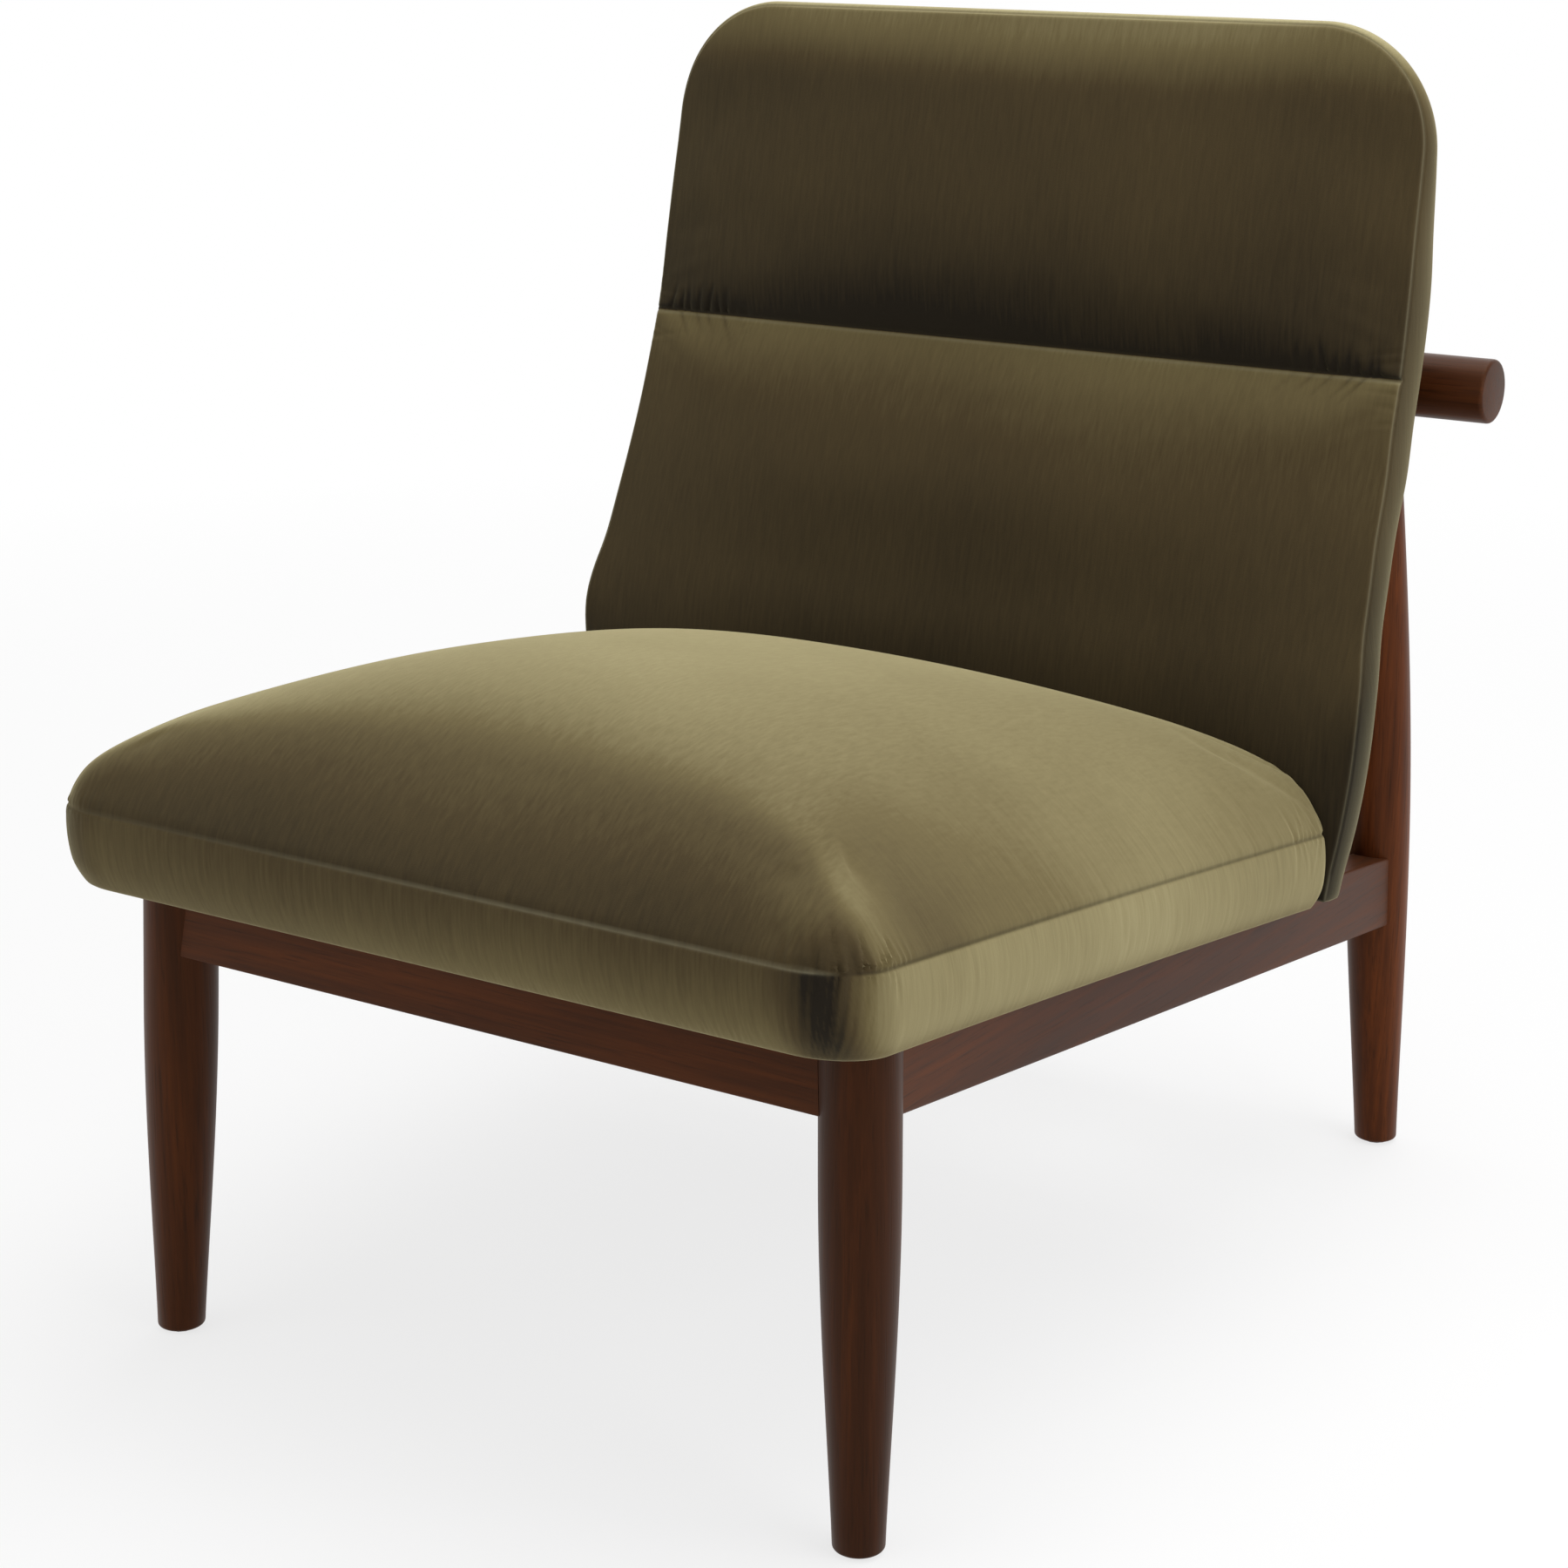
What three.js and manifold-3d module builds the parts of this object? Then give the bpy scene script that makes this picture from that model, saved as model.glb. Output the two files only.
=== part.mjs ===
// Slipper chair. A turned hardwood stand carries a sloping upholstered seat, and a reclined,
// curved back that stands on the stand's cross rail and is bolted to a round crossbar.
// Millimetres, +Z up, front towards -Y. Left is -X and right is +X, seen from the front.
// Depths are measured from the front feet; the finished chair is then centred over its origin,
// which is on the floor under the middle of the chair's outline.

import * as THREE from 'three';
import { mergeVertices } from 'three/addons/utils/BufferGeometryUtils.js';
import Module from 'manifold-3d';

const wasm = await Module();
wasm.setup();

// Clearance between pieces that touch, and how far a cutter runs past what it cuts.
const GAP = 0.3;
const OVERRUN = 6;

// Where the feet stand, and how far the legs lean, in degrees.
const FOOT_SPACING_WIDE = 550;
const FOOT_SPACING_DEEP = 761;
const FRONT_LEAN_IN = 1.7;
const FRONT_LEAN_BACK = 2.4;
const REAR_LEAN_IN = 1.35;

// Turned legs and posts, and the nylon glides under them.
const FOOT_RADIUS = 16;
const FOOT_EASE = 3;
const LEG_RADIUS = 24.7;
const LEG_SWELL_HEIGHT = 240;
const POST_SWELL_HEIGHT = 300;
const POST_TOP_RADIUS = 13;
const POST_TENON_RADIUS = 9;
const POST_TENON_PAST_AXIS = 8;
const GLIDE_RADIUS = 11;
const GLIDE_THICK = 2;
const GLIDE_ROUND = 1;
const GLIDE_STEM_RADIUS = 3;
const GLIDE_STEM_LENGTH = 14;

// Rails. Their tops lie in one plane that falls towards the rear by SEAT_SLOPE degrees.
const SEAT_PLANE_HEIGHT = 328.5;
const SEAT_SLOPE = 6.86;
const RAIL_HEIGHT = 53.5;
const RAIL_THICK = 28;
const RAIL_FACE_OFFSET = 16.5;
const TENON_THICK = 12;
const TENON_SHOULDER = 8;
const TENON_END_TO_AXIS = 9.5;
const CROSS_RAIL_WIDE = 84;
const CROSS_RAIL_THICK = 26;
const CROSS_RAIL_AHEAD_OF_BACK = 36;
const CROSS_TENON_LENGTH = 10;
const CORNER_BLOCK_REACH = 92;
const CORNER_BLOCK_HEIGHT = 34;
const CORNER_BLOCK_DROP = 4;

// Seat deck: four boards on the rails, with a dust cover below and springs above.
const DUST_COVER_THICK = 1;
const BOARD_THICK = 18;
const BOARD_WIDE = 70;
const SPRING_COUNT = 4;
const SPRING_SPACING = 96;
const SPRING_WIRE_RADIUS = 1.9;
const SPRING_WIDE = 46;
const SPRING_PITCH = 58;
const SPRING_ARCH = 9;
const SPRING_HOLD = 34;
const BATTEN_WIDE = 20;
const BATTEN_THICK = 9;

// Seat cushion. Heights are measured up from the plane of the rail tops.
const SEAT_HALF_WIDE = 308;
const SEAT_FLARE = 9.5;
const SEAT_FRONT = 75;
const SEAT_HEM_SET_BACK = 15;
const SEAT_CROWN_PAST_BACK = 67;
const SEAT_CORNER_RADIUS = 45;
const SEAT_HEM_SAG = 3;
const SEAT_SEAM_HEIGHT = 51;
const SEAT_CROWN = 119;
const SEAT_BOXING_SWELL = 3;
const SEAT_HEM_PULL = 4;
const SEAT_FOAM_EDGE = 12;

// Back, from the seat plane up. Its rake is how far its top lies behind its foot.
const BACK_FOOT_DEPTH = 545;
const BACK_TOP_HEIGHT = 856;
const BACK_RAKE = 124;
const BACK_HALF_WIDE = 312;
const BACK_TOP_CORNER_RADIUS = 84;
const BACK_BAND = 37;
const BACK_CROWN = 20;
const BACK_REAR_CROWN = 9;
const CHANNEL_RISE_SHARE = 0.602;
const BACK_CHANNEL_WIDE = 70;
const BACK_CHANNEL_DEPTH = 14;

// Covers, and the back's frame inside them with its webbing.
const COVER_THICK = 2;
const FRAME_SET_BACK = 12;
const FRAME_SIDE_CLEARANCE = 2;
const STILE_WIDE = 26;
const TOP_RAIL_BELOW_TOP = 68;
const TOP_RAIL_HEIGHT = 46;
const MID_RAIL_BELOW_CHANNEL = 1;
const MID_RAIL_HEIGHT = 64;
const FOOT_RAIL_HEIGHT = 34;
const STRAP_COUNT = 3;
const STRAP_WIDE = 50;
const STRAP_THICK = 1.5;
const REAR_PANEL_THICK = 3;

// Crossbar, the blocks that join the back to it, and the fasteners.
const CROSSBAR_RADIUS = 23;
const CROSSBAR_LENGTH = 696;
const CROSSBAR_EASE = 2.5;
const SADDLE_LENGTH = 65;
const SADDLE_WIDE = 48;
const SADDLE_HEIGHT = 38;
const SADDLE_OFFSET = 150;
const BOLT_RADIUS = 4;
const BOLT_HEAD_RADIUS = 7;
const BOLT_HEAD_THICK = 4.5;
const BOLT_HEAD_SINK = 7;
const NUT_BARREL_RADIUS = 5.5;
const NUT_BARREL_LENGTH = 8;
const NUT_FLANGE_RADIUS = 10;
const NUT_FLANGE_THICK = 1.4;
const SCREW_RADIUS = 2.3;
const SCREW_HEAD_RADIUS = 4.6;
const SCREW_HEAD_THICK = 2.8;
const SCREW_BITE = 13;
const SCREW_TO_LEG_AXIS = 27;

const TURN_STEPS = 24;
const SMALL_TURN_STEPS = 12;

const WOOD = { color: 0x4a2c1c, roughness: 0.45, metalness: 0 };
const BOARD_WOOD = { color: 0xc8a878, roughness: 0.8, metalness: 0 };
const VELVET = { color: 0x6a613c, roughness: 0.95, metalness: 0 };
const FOAM = { color: 0xe6dcc0, roughness: 1, metalness: 0 };
const WEBBING = { color: 0x2c2b29, roughness: 0.9, metalness: 0 };
const DUST_CLOTH = { color: 0x1c1c1d, roughness: 1, metalness: 0 };
const STEEL = { color: 0x8d9093, roughness: 0.35, metalness: 1 };
const NYLON = { color: 0x2b2320, roughness: 0.6, metalness: 0 };

const radians = THREE.MathUtils.degToRad;
const chair = new THREE.Group();

function add(name, geometry, finish) {
  const mesh = new THREE.Mesh(geometry, new THREE.MeshStandardMaterial(finish));
  mesh.name = name;
  chair.add(mesh);
  return mesh;
}

// A closed mesh as a solid that can be joined and cut, moved by a matrix first if one is given.
function solid(geometry, matrix) {
  const bare = geometry.clone();
  bare.deleteAttribute('normal');
  bare.deleteAttribute('uv');
  const welded = mergeVertices(bare);
  if (matrix) welded.applyMatrix4(matrix);
  const corners = [];
  for (let i = 0; i < welded.index.count; i += 3) {
    const [a, b, c] = [0, 1, 2].map((k) => welded.index.getX(i + k));
    if (a !== b && b !== c && c !== a) corners.push(a, b, c);
  }
  return new wasm.Manifold(new wasm.Mesh({
    numProp: 3,
    vertProperties: new Float32Array(welded.attributes.position.array),
    triVerts: new Uint32Array(corners),
  }));
}

function geometryOf(body) {
  const mesh = body.getMesh();
  const geometry = new THREE.BufferGeometry();
  geometry.setAttribute('position', new THREE.BufferAttribute(mesh.vertProperties, 3));
  geometry.setIndex(new THREE.BufferAttribute(mesh.triVerts, 1));
  geometry.computeVertexNormals();
  return geometry;
}

function cut(body, cutters) {
  return cutters.reduce((left, cutter) => left.subtract(cutter), body);
}

// A box between two corners.
function slab(x0, x1, y0, y1, z0, z1) {
  const box = new THREE.BoxGeometry(x1 - x0, y1 - y0, z1 - z0);
  return box.translate((x0 + x1) / 2, (y0 + y1) / 2, (z0 + z1) / 2);
}

// A shape turned about +Z from [radius, height] pairs that start and end on the axis, upwards.
function turned(profile, steps = TURN_STEPS) {
  const points = profile.map(([radius, height]) => new THREE.Vector2(radius, height));
  return new THREE.LatheGeometry(points, steps).rotateX(Math.PI / 2);
}

function rod(radius, from, to, steps = SMALL_TURN_STEPS) {
  return turned([[0, from], [radius, from], [radius, to], [0, to]], steps);
}

// A matrix that puts +Z along a direction, with its origin at a place.
function along(place, direction) {
  const turn = new THREE.Quaternion();
  turn.setFromUnitVectors(new THREE.Vector3(0, 0, 1), direction.clone().normalize());
  return new THREE.Matrix4().compose(place, turn, new THREE.Vector3(1, 1, 1));
}

function frameOf(place, xAxis, yAxis, zAxis) {
  return new THREE.Matrix4().makeBasis(xAxis, yAxis, zAxis).setPosition(place);
}

// The seat frame: +X to the right, +Y down the slope to the rear, +Z square to the rail tops.
const seatFrame = new THREE.Matrix4().makeTranslation(0, 0, SEAT_PLANE_HEIGHT);
seatFrame.multiply(new THREE.Matrix4().makeRotationX(-radians(SEAT_SLOPE)));
const worldToSeat = seatFrame.clone().invert();
const seatUp = new THREE.Vector3(0, 0, 1).transformDirection(seatFrame);

function addToSeat(name, geometry, finish) {
  const mesh = add(name, geometry, finish);
  mesh.rotation.x = -radians(SEAT_SLOPE);
  mesh.position.z = SEAT_PLANE_HEIGHT;
  return mesh;
}

// A padded face is a grid of points, with rows that run away from the first row and columns
// to the right of it. Loops of points carry its border down to a base, which a fan closes.
function borderOf(grid) {
  const rows = grid.length;
  const columns = grid[0].length;
  const border = [];
  for (let c = 0; c < columns - 1; c += 1) border.push(grid[0][c]);
  for (let r = 0; r < rows - 1; r += 1) border.push(grid[r][columns - 1]);
  for (let c = columns - 1; c > 0; c -= 1) border.push(grid[rows - 1][c]);
  for (let r = rows - 1; r > 0; r -= 1) border.push(grid[r][0]);
  return border;
}

function padded(grid, loops, base) {
  const points = [];
  const faces = [];
  const numberOf = new Map();
  const enter = (point) => {
    if (!numberOf.has(point)) {
      numberOf.set(point, points.length / 3);
      points.push(point.x, point.y, point.z);
    }
    return numberOf.get(point);
  };
  const quad = (a, b, c, d) => faces.push(...[a, b, c, a, c, d].map(enter));
  for (let r = 0; r < grid.length - 1; r += 1) {
    for (let c = 0; c < grid[r].length - 1; c += 1) {
      quad(grid[r][c], grid[r][c + 1], grid[r + 1][c + 1], grid[r + 1][c]);
    }
  }
  const rings = [borderOf(grid), ...loops];
  for (let k = 0; k < rings.length - 1; k += 1) {
    rings[k].forEach((point, i) => {
      const next = (i + 1) % rings[k].length;
      quad(point, rings[k + 1][i], rings[k + 1][next], rings[k][next]);
    });
  }
  const last = rings[rings.length - 1];
  if (Array.isArray(base)) {
    for (let r = 0; r < base.length - 1; r += 1) {
      for (let c = 0; c < base[r].length - 1; c += 1) {
        quad(base[r][c], base[r + 1][c], base[r + 1][c + 1], base[r][c + 1]);
      }
    }
    const foot = borderOf(base);
    last.forEach((point, i) => {
      const next = (i + 1) % last.length;
      quad(point, foot[i], foot[next], last[next]);
    });
  } else {
    last.forEach((point, i) => {
      const next = last[(i + 1) % last.length];
      faces.push(...[next, point, base].map(enter));
    });
  }
  const geometry = new THREE.BufferGeometry();
  geometry.setAttribute('position', new THREE.Float32BufferAttribute(points, 3));
  geometry.setIndex(faces);
  geometry.computeVertexNormals();
  return geometry;
}

// The back's form by height, as shares. Each row holds the rise from the back's foot to its top,
// then the front seam's share of the rake, the half width's share of BACK_HALF_WIDE, and the
// side band's share of BACK_BAND.
const backShares = [
  [-0.05, -0.005, 1.008, 0.6],
  [0, 0, 1.013, 0.65],
  [0.09, 0.008, 1.026, 0.79],
  [0.16, 0.02, 1.042, 0.81],
  [0.235, 0.048, 1.051, 0.83],
  [0.27, 0.108, 1.05, 0.835],
  [0.3, 0.173, 1.045, 0.84],
  [0.366, 0.298, 1.034, 0.87],
  [0.422, 0.399, 1.026, 0.92],
  [0.484, 0.516, 1.022, 0.98],
  [0.545, 0.605, 1.016, 1],
  [0.611, 0.702, 1.013, 1],
  [0.703, 0.79, 1.01, 0.98],
  [0.769, 0.847, 1.006, 0.83],
  [0.826, 0.903, 1.003, 0.69],
  [0.882, 0.948, 1, 0.55],
  [0.939, 0.976, 1, 0.43],
  [1, 1, 1, 0.36],
];
const backFoot = SEAT_PLANE_HEIGHT - BACK_FOOT_DEPTH * Math.tan(radians(SEAT_SLOPE));
const backTall = BACK_TOP_HEIGHT - backFoot;
const channelMiddle = backFoot + CHANNEL_RISE_SHARE * backTall;
const CURVE_STEPS = 200;

// A smooth curve through one column of the table, read at a height.
function reader(column) {
  const knots = backShares.map((row) => new THREE.Vector2(row[0], row[column]));
  const points = new THREE.SplineCurve(knots).getPoints(CURVE_STEPS);
  return (height) => {
    const rise = (height - backFoot) / backTall;
    const found = points.findIndex((point) => point.x >= rise);
    const last = found < 0 ? points.length - 1 : Math.max(found, 1);
    const [below, above] = [points[last - 1], points[last]];
    return below.y + ((above.y - below.y) * (rise - below.x)) / (above.x - below.x);
  };
}

const rakeShareAt = reader(1);
const widthShareAt = reader(2);
const bandShareAt = reader(3);
const seamDepth = (height) => BACK_FOOT_DEPTH + BACK_RAKE * rakeShareAt(height);
const bandAt = (height) => BACK_BAND * bandShareAt(height);
const frameFront = (height) => seamDepth(height) + FRAME_SET_BACK;
const frameRear = (height) => seamDepth(height) + bandAt(height) - REAR_PANEL_THICK - 2 * GAP;

// How far a rounded corner draws an edge in, at a distance from the corner's end.
function cornerDraw(distance, radius) {
  if (distance >= radius) return 0;
  return radius - Math.sqrt(Math.max(radius ** 2 - (radius - distance) ** 2, 0));
}

function backHalf(height, inset) {
  const draw = cornerDraw(BACK_TOP_HEIGHT - inset - height, BACK_TOP_CORNER_RADIUS);
  return BACK_HALF_WIDE * widthShareAt(height) - inset - draw;
}

// Every surface of the back has its rows at the same heights: the table's, then the sewn
// channel's, then the round top corners'.
const channelShares = [-1, -0.55, -0.2, 0, 0.2, 0.55, 1];
const TOP_CORNER_ROWS = 5;
const ROW_LEAST = 2;
const channelRows = channelShares.map((share) => (
  channelMiddle + (share * BACK_CHANNEL_WIDE) / 2
));
const [channelFoot, channelTop] = [channelRows[0], channelRows[channelRows.length - 1]];
const cornerFoot = BACK_TOP_HEIGHT - BACK_TOP_CORNER_RADIUS;
const cornerRows = Array.from({ length: TOP_CORNER_ROWS }, (_, k) => (
  cornerFoot + BACK_TOP_CORNER_RADIUS * Math.sin((Math.PI / 2) * (k / TOP_CORNER_ROWS))
));
const plainRows = backShares.map(([rise]) => backFoot + rise * backTall).filter((height) => (
  height < channelFoot - ROW_LEAST || (height > channelTop + ROW_LEAST && height < cornerFoot)
));
const backRows = [...plainRows, ...channelRows, ...cornerRows].sort((a, b) => a - b);

function rowsBetween(from, to) {
  const inside = backRows.filter((row) => row > from + ROW_LEAST && row < to - ROW_LEAST);
  return [from, ...inside, to];
}

// The middle rail's rear face is flat, and the crossbar lies square behind it.
const midRailMiddle = channelMiddle - MID_RAIL_BELOW_CHANNEL;
const midRailFoot = midRailMiddle - MID_RAIL_HEIGHT / 2;
const midRailTop = midRailMiddle + MID_RAIL_HEIGHT / 2;
const midAngle = Math.atan2(frameRear(midRailTop) - frameRear(midRailFoot), MID_RAIL_HEIGHT);
const midUp = new THREE.Vector3(0, Math.sin(midAngle), Math.cos(midAngle));
const midRear = new THREE.Vector3(0, Math.cos(midAngle), -Math.sin(midAngle));
const midRailPlace = new THREE.Vector3(
  0,
  (frameRear(midRailFoot) + frameRear(midRailTop)) / 2,
  midRailMiddle,
);
const midRailThick = Math.cos(midAngle) * (
  midRailPlace.y - (frameFront(midRailFoot) + frameFront(midRailTop)) / 2
);
const barPlace = midRailPlace.clone().addScaledVector(midRear, GAP + SADDLE_LENGTH);
const barFrame = frameOf(
  barPlace,
  midRear,
  midUp,
  new THREE.Vector3(1, 0, 0),
);
const backFootRun = BACK_FOOT_DEPTH / Math.cos(radians(SEAT_SLOPE));
const crossRailFront = backFootRun - CROSS_RAIL_AHEAD_OF_BACK;

// Axes of the legs and posts: the foot, and the run of the axis for each millimetre of height.
const sides = { left: -1, right: 1 };
const legAxes = {};
for (const [side, sign] of Object.entries(sides)) {
  legAxes[`front_${side}`] = {
    foot: new THREE.Vector3((sign * FOOT_SPACING_WIDE) / 2, 0, 0),
    lean: new THREE.Vector3(
      -sign * Math.tan(radians(FRONT_LEAN_IN)),
      Math.tan(radians(FRONT_LEAN_BACK)),
      1,
    ),
  };
  legAxes[`rear_${side}`] = {
    foot: new THREE.Vector3((sign * FOOT_SPACING_WIDE) / 2, FOOT_SPACING_DEEP, 0),
    lean: new THREE.Vector3(
      -sign * Math.tan(radians(REAR_LEAN_IN)),
      (barPlace.y - FOOT_SPACING_DEEP) / barPlace.z,
      1,
    ),
  };
}

function legFrame(axis) {
  return along(axis.foot, axis.lean);
}

// Where a leg's axis crosses a height above the rail tops, in the seat frame.
function crossing(axis, height) {
  const start = axis.foot.clone().applyMatrix4(worldToSeat);
  const next = axis.foot.clone().add(axis.lean).applyMatrix4(worldToSeat);
  const step = next.sub(start);
  return start.clone().addScaledVector(step, (height - start.z) / step.z);
}

// Leg and post profiles swell in a quarter wave from the foot, and the post falls off above it.
const SWELL_POWER = 1.15;
const FALL_POWER = 0.93;
const SWELL_STEPS = 7;
const FALL_STEPS = 8;

function swell(height, top, grow) {
  const share = Math.sin((Math.PI / 2) * Math.min(height / top, 1) ** SWELL_POWER);
  return FOOT_RADIUS + (LEG_RADIUS - FOOT_RADIUS) * share + grow;
}

function legProfile(length, grow) {
  const profile = [[0, -OVERRUN], [swell(0, LEG_SWELL_HEIGHT, grow), -OVERRUN]];
  for (let k = 0; k <= SWELL_STEPS; k += 1) {
    const height = (LEG_SWELL_HEIGHT * k) / SWELL_STEPS;
    profile.push([swell(height, LEG_SWELL_HEIGHT, grow), height]);
  }
  profile.push([LEG_RADIUS + grow, length + OVERRUN], [0, length + OVERRUN]);
  return profile;
}

function postProfile(length, grow) {
  const profile = [[0, -OVERRUN], [swell(0, POST_SWELL_HEIGHT, grow), -OVERRUN]];
  for (let k = 0; k <= SWELL_STEPS; k += 1) {
    const height = (POST_SWELL_HEIGHT * k) / SWELL_STEPS;
    profile.push([swell(height, POST_SWELL_HEIGHT, grow), height]);
  }
  for (let k = 1; k <= FALL_STEPS; k += 1) {
    const share = Math.cos((Math.PI / 2) * (k / FALL_STEPS) ** FALL_POWER);
    const radius = POST_TOP_RADIUS + (LEG_RADIUS - POST_TOP_RADIUS) * share + grow;
    profile.push([radius, POST_SWELL_HEIGHT + ((length - POST_SWELL_HEIGHT) * k) / FALL_STEPS]);
  }
  profile.push([0, length]);
  return profile;
}

const legLength = SEAT_PLANE_HEIGHT;
const postLength = barPlace.clone().sub(legAxes.rear_right.foot).length();
const legSolids = {};
const legClearances = {};
for (const [name, axis] of Object.entries(legAxes)) {
  const profile = name.startsWith('front') ? legProfile : postProfile;
  const length = name.startsWith('front') ? legLength : postLength;
  legSolids[name] = solid(turned(profile(length, 0)), legFrame(axis));
  legClearances[name] = solid(turned(profile(length, GAP)), legFrame(axis));
}

// Rails run anticlockwise from leg to leg, seen from above, so +Y of each is the inside.
const railEnds = {
  front_rail: ['front_left', 'front_right'],
  side_rail_right: ['front_right', 'rear_right'],
  rear_rail: ['rear_right', 'rear_left'],
  side_rail_left: ['rear_left', 'front_left'],
};
const railFrames = {};
const railLengths = {};
for (const [name, [from, to]] of Object.entries(railEnds)) {
  const start = crossing(legAxes[from], -RAIL_HEIGHT / 2).setZ(0);
  const end = crossing(legAxes[to], -RAIL_HEIGHT / 2).setZ(0);
  const run = end.clone().sub(start).normalize();
  const up = new THREE.Vector3(0, 0, 1);
  const inward = up.clone().cross(run);
  railFrames[name] = seatFrame.clone().multiply(frameOf(start, run, inward, up));
  railLengths[name] = start.distanceTo(end);
}

function railBody(name, grow) {
  const outer = -RAIL_FACE_OFFSET;
  const body = slab(
    0, railLengths[name],
    outer - grow, outer + RAIL_THICK + grow,
    -RAIL_HEIGHT - grow, grow,
  );
  return solid(body, railFrames[name]);
}

function railTenon(name, grow) {
  const middle = RAIL_THICK / 2 - RAIL_FACE_OFFSET;
  const half = TENON_THICK / 2 + grow;
  const tenon = slab(
    TENON_END_TO_AXIS - grow, railLengths[name] - TENON_END_TO_AXIS + grow,
    middle - half, middle + half,
    -RAIL_HEIGHT + TENON_SHOULDER - grow, -TENON_SHOULDER + grow,
  );
  return solid(tenon, railFrames[name]);
}

// The cross rail lies flat between the side rails, with a tenon in each of them.
const sideRailInside = RAIL_THICK - RAIL_FACE_OFFSET;
const frontCrossing = crossing(legAxes.front_right, 0);
const rearCrossing = crossing(legAxes.rear_right, 0);
function sideRailAxis(depth) {
  const share = (depth - frontCrossing.y) / (rearCrossing.y - frontCrossing.y);
  return frontCrossing.x + (rearCrossing.x - frontCrossing.x) * share;
}
const crossRailRear = crossRailFront + CROSS_RAIL_WIDE;
const crossRailHalf = sideRailAxis(crossRailFront) - sideRailInside;
const crossTenonHalf = crossRailHalf + CROSS_TENON_LENGTH;
const crossRailBody = solid(slab(
  -crossTenonHalf, crossTenonHalf,
  crossRailFront, crossRailRear,
  -CROSS_RAIL_THICK, 0,
), seatFrame);

function crossTenon(grow) {
  const tenon = slab(
    -crossTenonHalf - grow, crossTenonHalf + grow,
    crossRailFront + TENON_SHOULDER - grow, crossRailRear - TENON_SHOULDER + grow,
    -CROSS_RAIL_THICK + TENON_SHOULDER - grow, -TENON_SHOULDER + grow,
  );
  return solid(tenon, seatFrame);
}

// Wood screws come up from below: through the front corner blocks and the cross rail into the
// seat boards, and through the cross rail into the back's foot rail.
function screw(length) {
  return turned([
    [0, -SCREW_HEAD_THICK],
    [SCREW_HEAD_RADIUS, -SCREW_HEAD_THICK],
    [SCREW_HEAD_RADIUS, 0],
    [SCREW_RADIUS, 0],
    [SCREW_RADIUS, length - 2 * SCREW_RADIUS],
    [0, length],
  ], SMALL_TURN_STEPS);
}

function screwHole(depth) {
  return rod(SCREW_RADIUS + GAP, -OVERRUN, depth + GAP);
}

const blockBottom = -CORNER_BLOCK_DROP - CORNER_BLOCK_HEIGHT;
const boardBottom = DUST_COVER_THICK + 2 * GAP;
const boardTop = boardBottom + BOARD_THICK;
const crossRailBottom = -CROSS_RAIL_THICK - GAP;
const rearScrewDepth = crossRailFront + CROSS_RAIL_AHEAD_OF_BACK / 2;
const footScrewDepth = backFootRun + (FRAME_SET_BACK + bandAt(backFoot) - REAR_PANEL_THICK) / 2;
const footScrewPlace = (sign) => (
  new THREE.Vector3(sign * SADDLE_OFFSET, footScrewDepth, crossRailBottom)
);
const footScrewLength = -crossRailBottom + SCREW_BITE;
const screws = [];
for (const [side, sign] of Object.entries(sides)) {
  const leg = crossing(legAxes[`front_${side}`], blockBottom);
  const inward = leg.x - sign * SCREW_TO_LEG_AXIS;
  screws.push({
    name: `seat_screw_front_${side}`,
    place: new THREE.Vector3(inward, leg.y + SCREW_TO_LEG_AXIS, blockBottom - GAP),
    length: boardBottom + SCREW_BITE - blockBottom,
  }, {
    name: `seat_screw_rear_${side}`,
    place: new THREE.Vector3(inward, rearScrewDepth, crossRailBottom),
    length: boardBottom + SCREW_BITE - crossRailBottom,
  }, {
    name: `back_foot_screw_${side}`,
    place: footScrewPlace(sign),
    length: footScrewLength,
  });
}
const seatScrewHoles = screws.map(({ place, length }) => (
  solid(screwHole(length), new THREE.Matrix4().setPosition(place))
));
const worldScrewHoles = screws.map(({ place, length }) => (
  solid(screwHole(length), seatFrame.clone().multiply(new THREE.Matrix4().setPosition(place)))
));
for (const { name, place, length } of screws) {
  const mesh = addToSeat(name, screw(length), STEEL);
  mesh.position.copy(place.clone().applyMatrix4(seatFrame));
}

// The rails, each coped to its legs with a tenon at both ends.
for (const [name, ends] of Object.entries(railEnds)) {
  const clearances = ends.map((leg) => legClearances[leg]);
  let rail = cut(railBody(name, 0), clearances).add(railTenon(name, 0));
  if (name.startsWith('side')) rail = rail.subtract(crossTenon(GAP));
  add(name, geometryOf(rail), WOOD);
}
const sideRailBodies = [railBody('side_rail_left', GAP), railBody('side_rail_right', GAP)];
const crossRail = cut(crossRailBody, sideRailBodies).add(crossTenon(0));
add('cross_rail', geometryOf(cut(crossRail, worldScrewHoles)), WOOD);

// Glides: a button with a stem that is driven up into the foot.
const glideTop = GLIDE_THICK + GAP;
for (const [name, axis] of Object.entries(legAxes)) {
  const glide = add(`glide_${name}`, turned([
    [0, 0],
    [GLIDE_RADIUS - GLIDE_ROUND, 0],
    [GLIDE_RADIUS, GLIDE_ROUND],
    [GLIDE_RADIUS, GLIDE_THICK],
    [GLIDE_STEM_RADIUS, GLIDE_THICK],
    [GLIDE_STEM_RADIUS, GLIDE_THICK + GLIDE_STEM_LENGTH],
    [0, GLIDE_THICK + GLIDE_STEM_LENGTH],
  ], SMALL_TURN_STEPS), NYLON);
  glide.position.copy(axis.foot);
}

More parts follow.
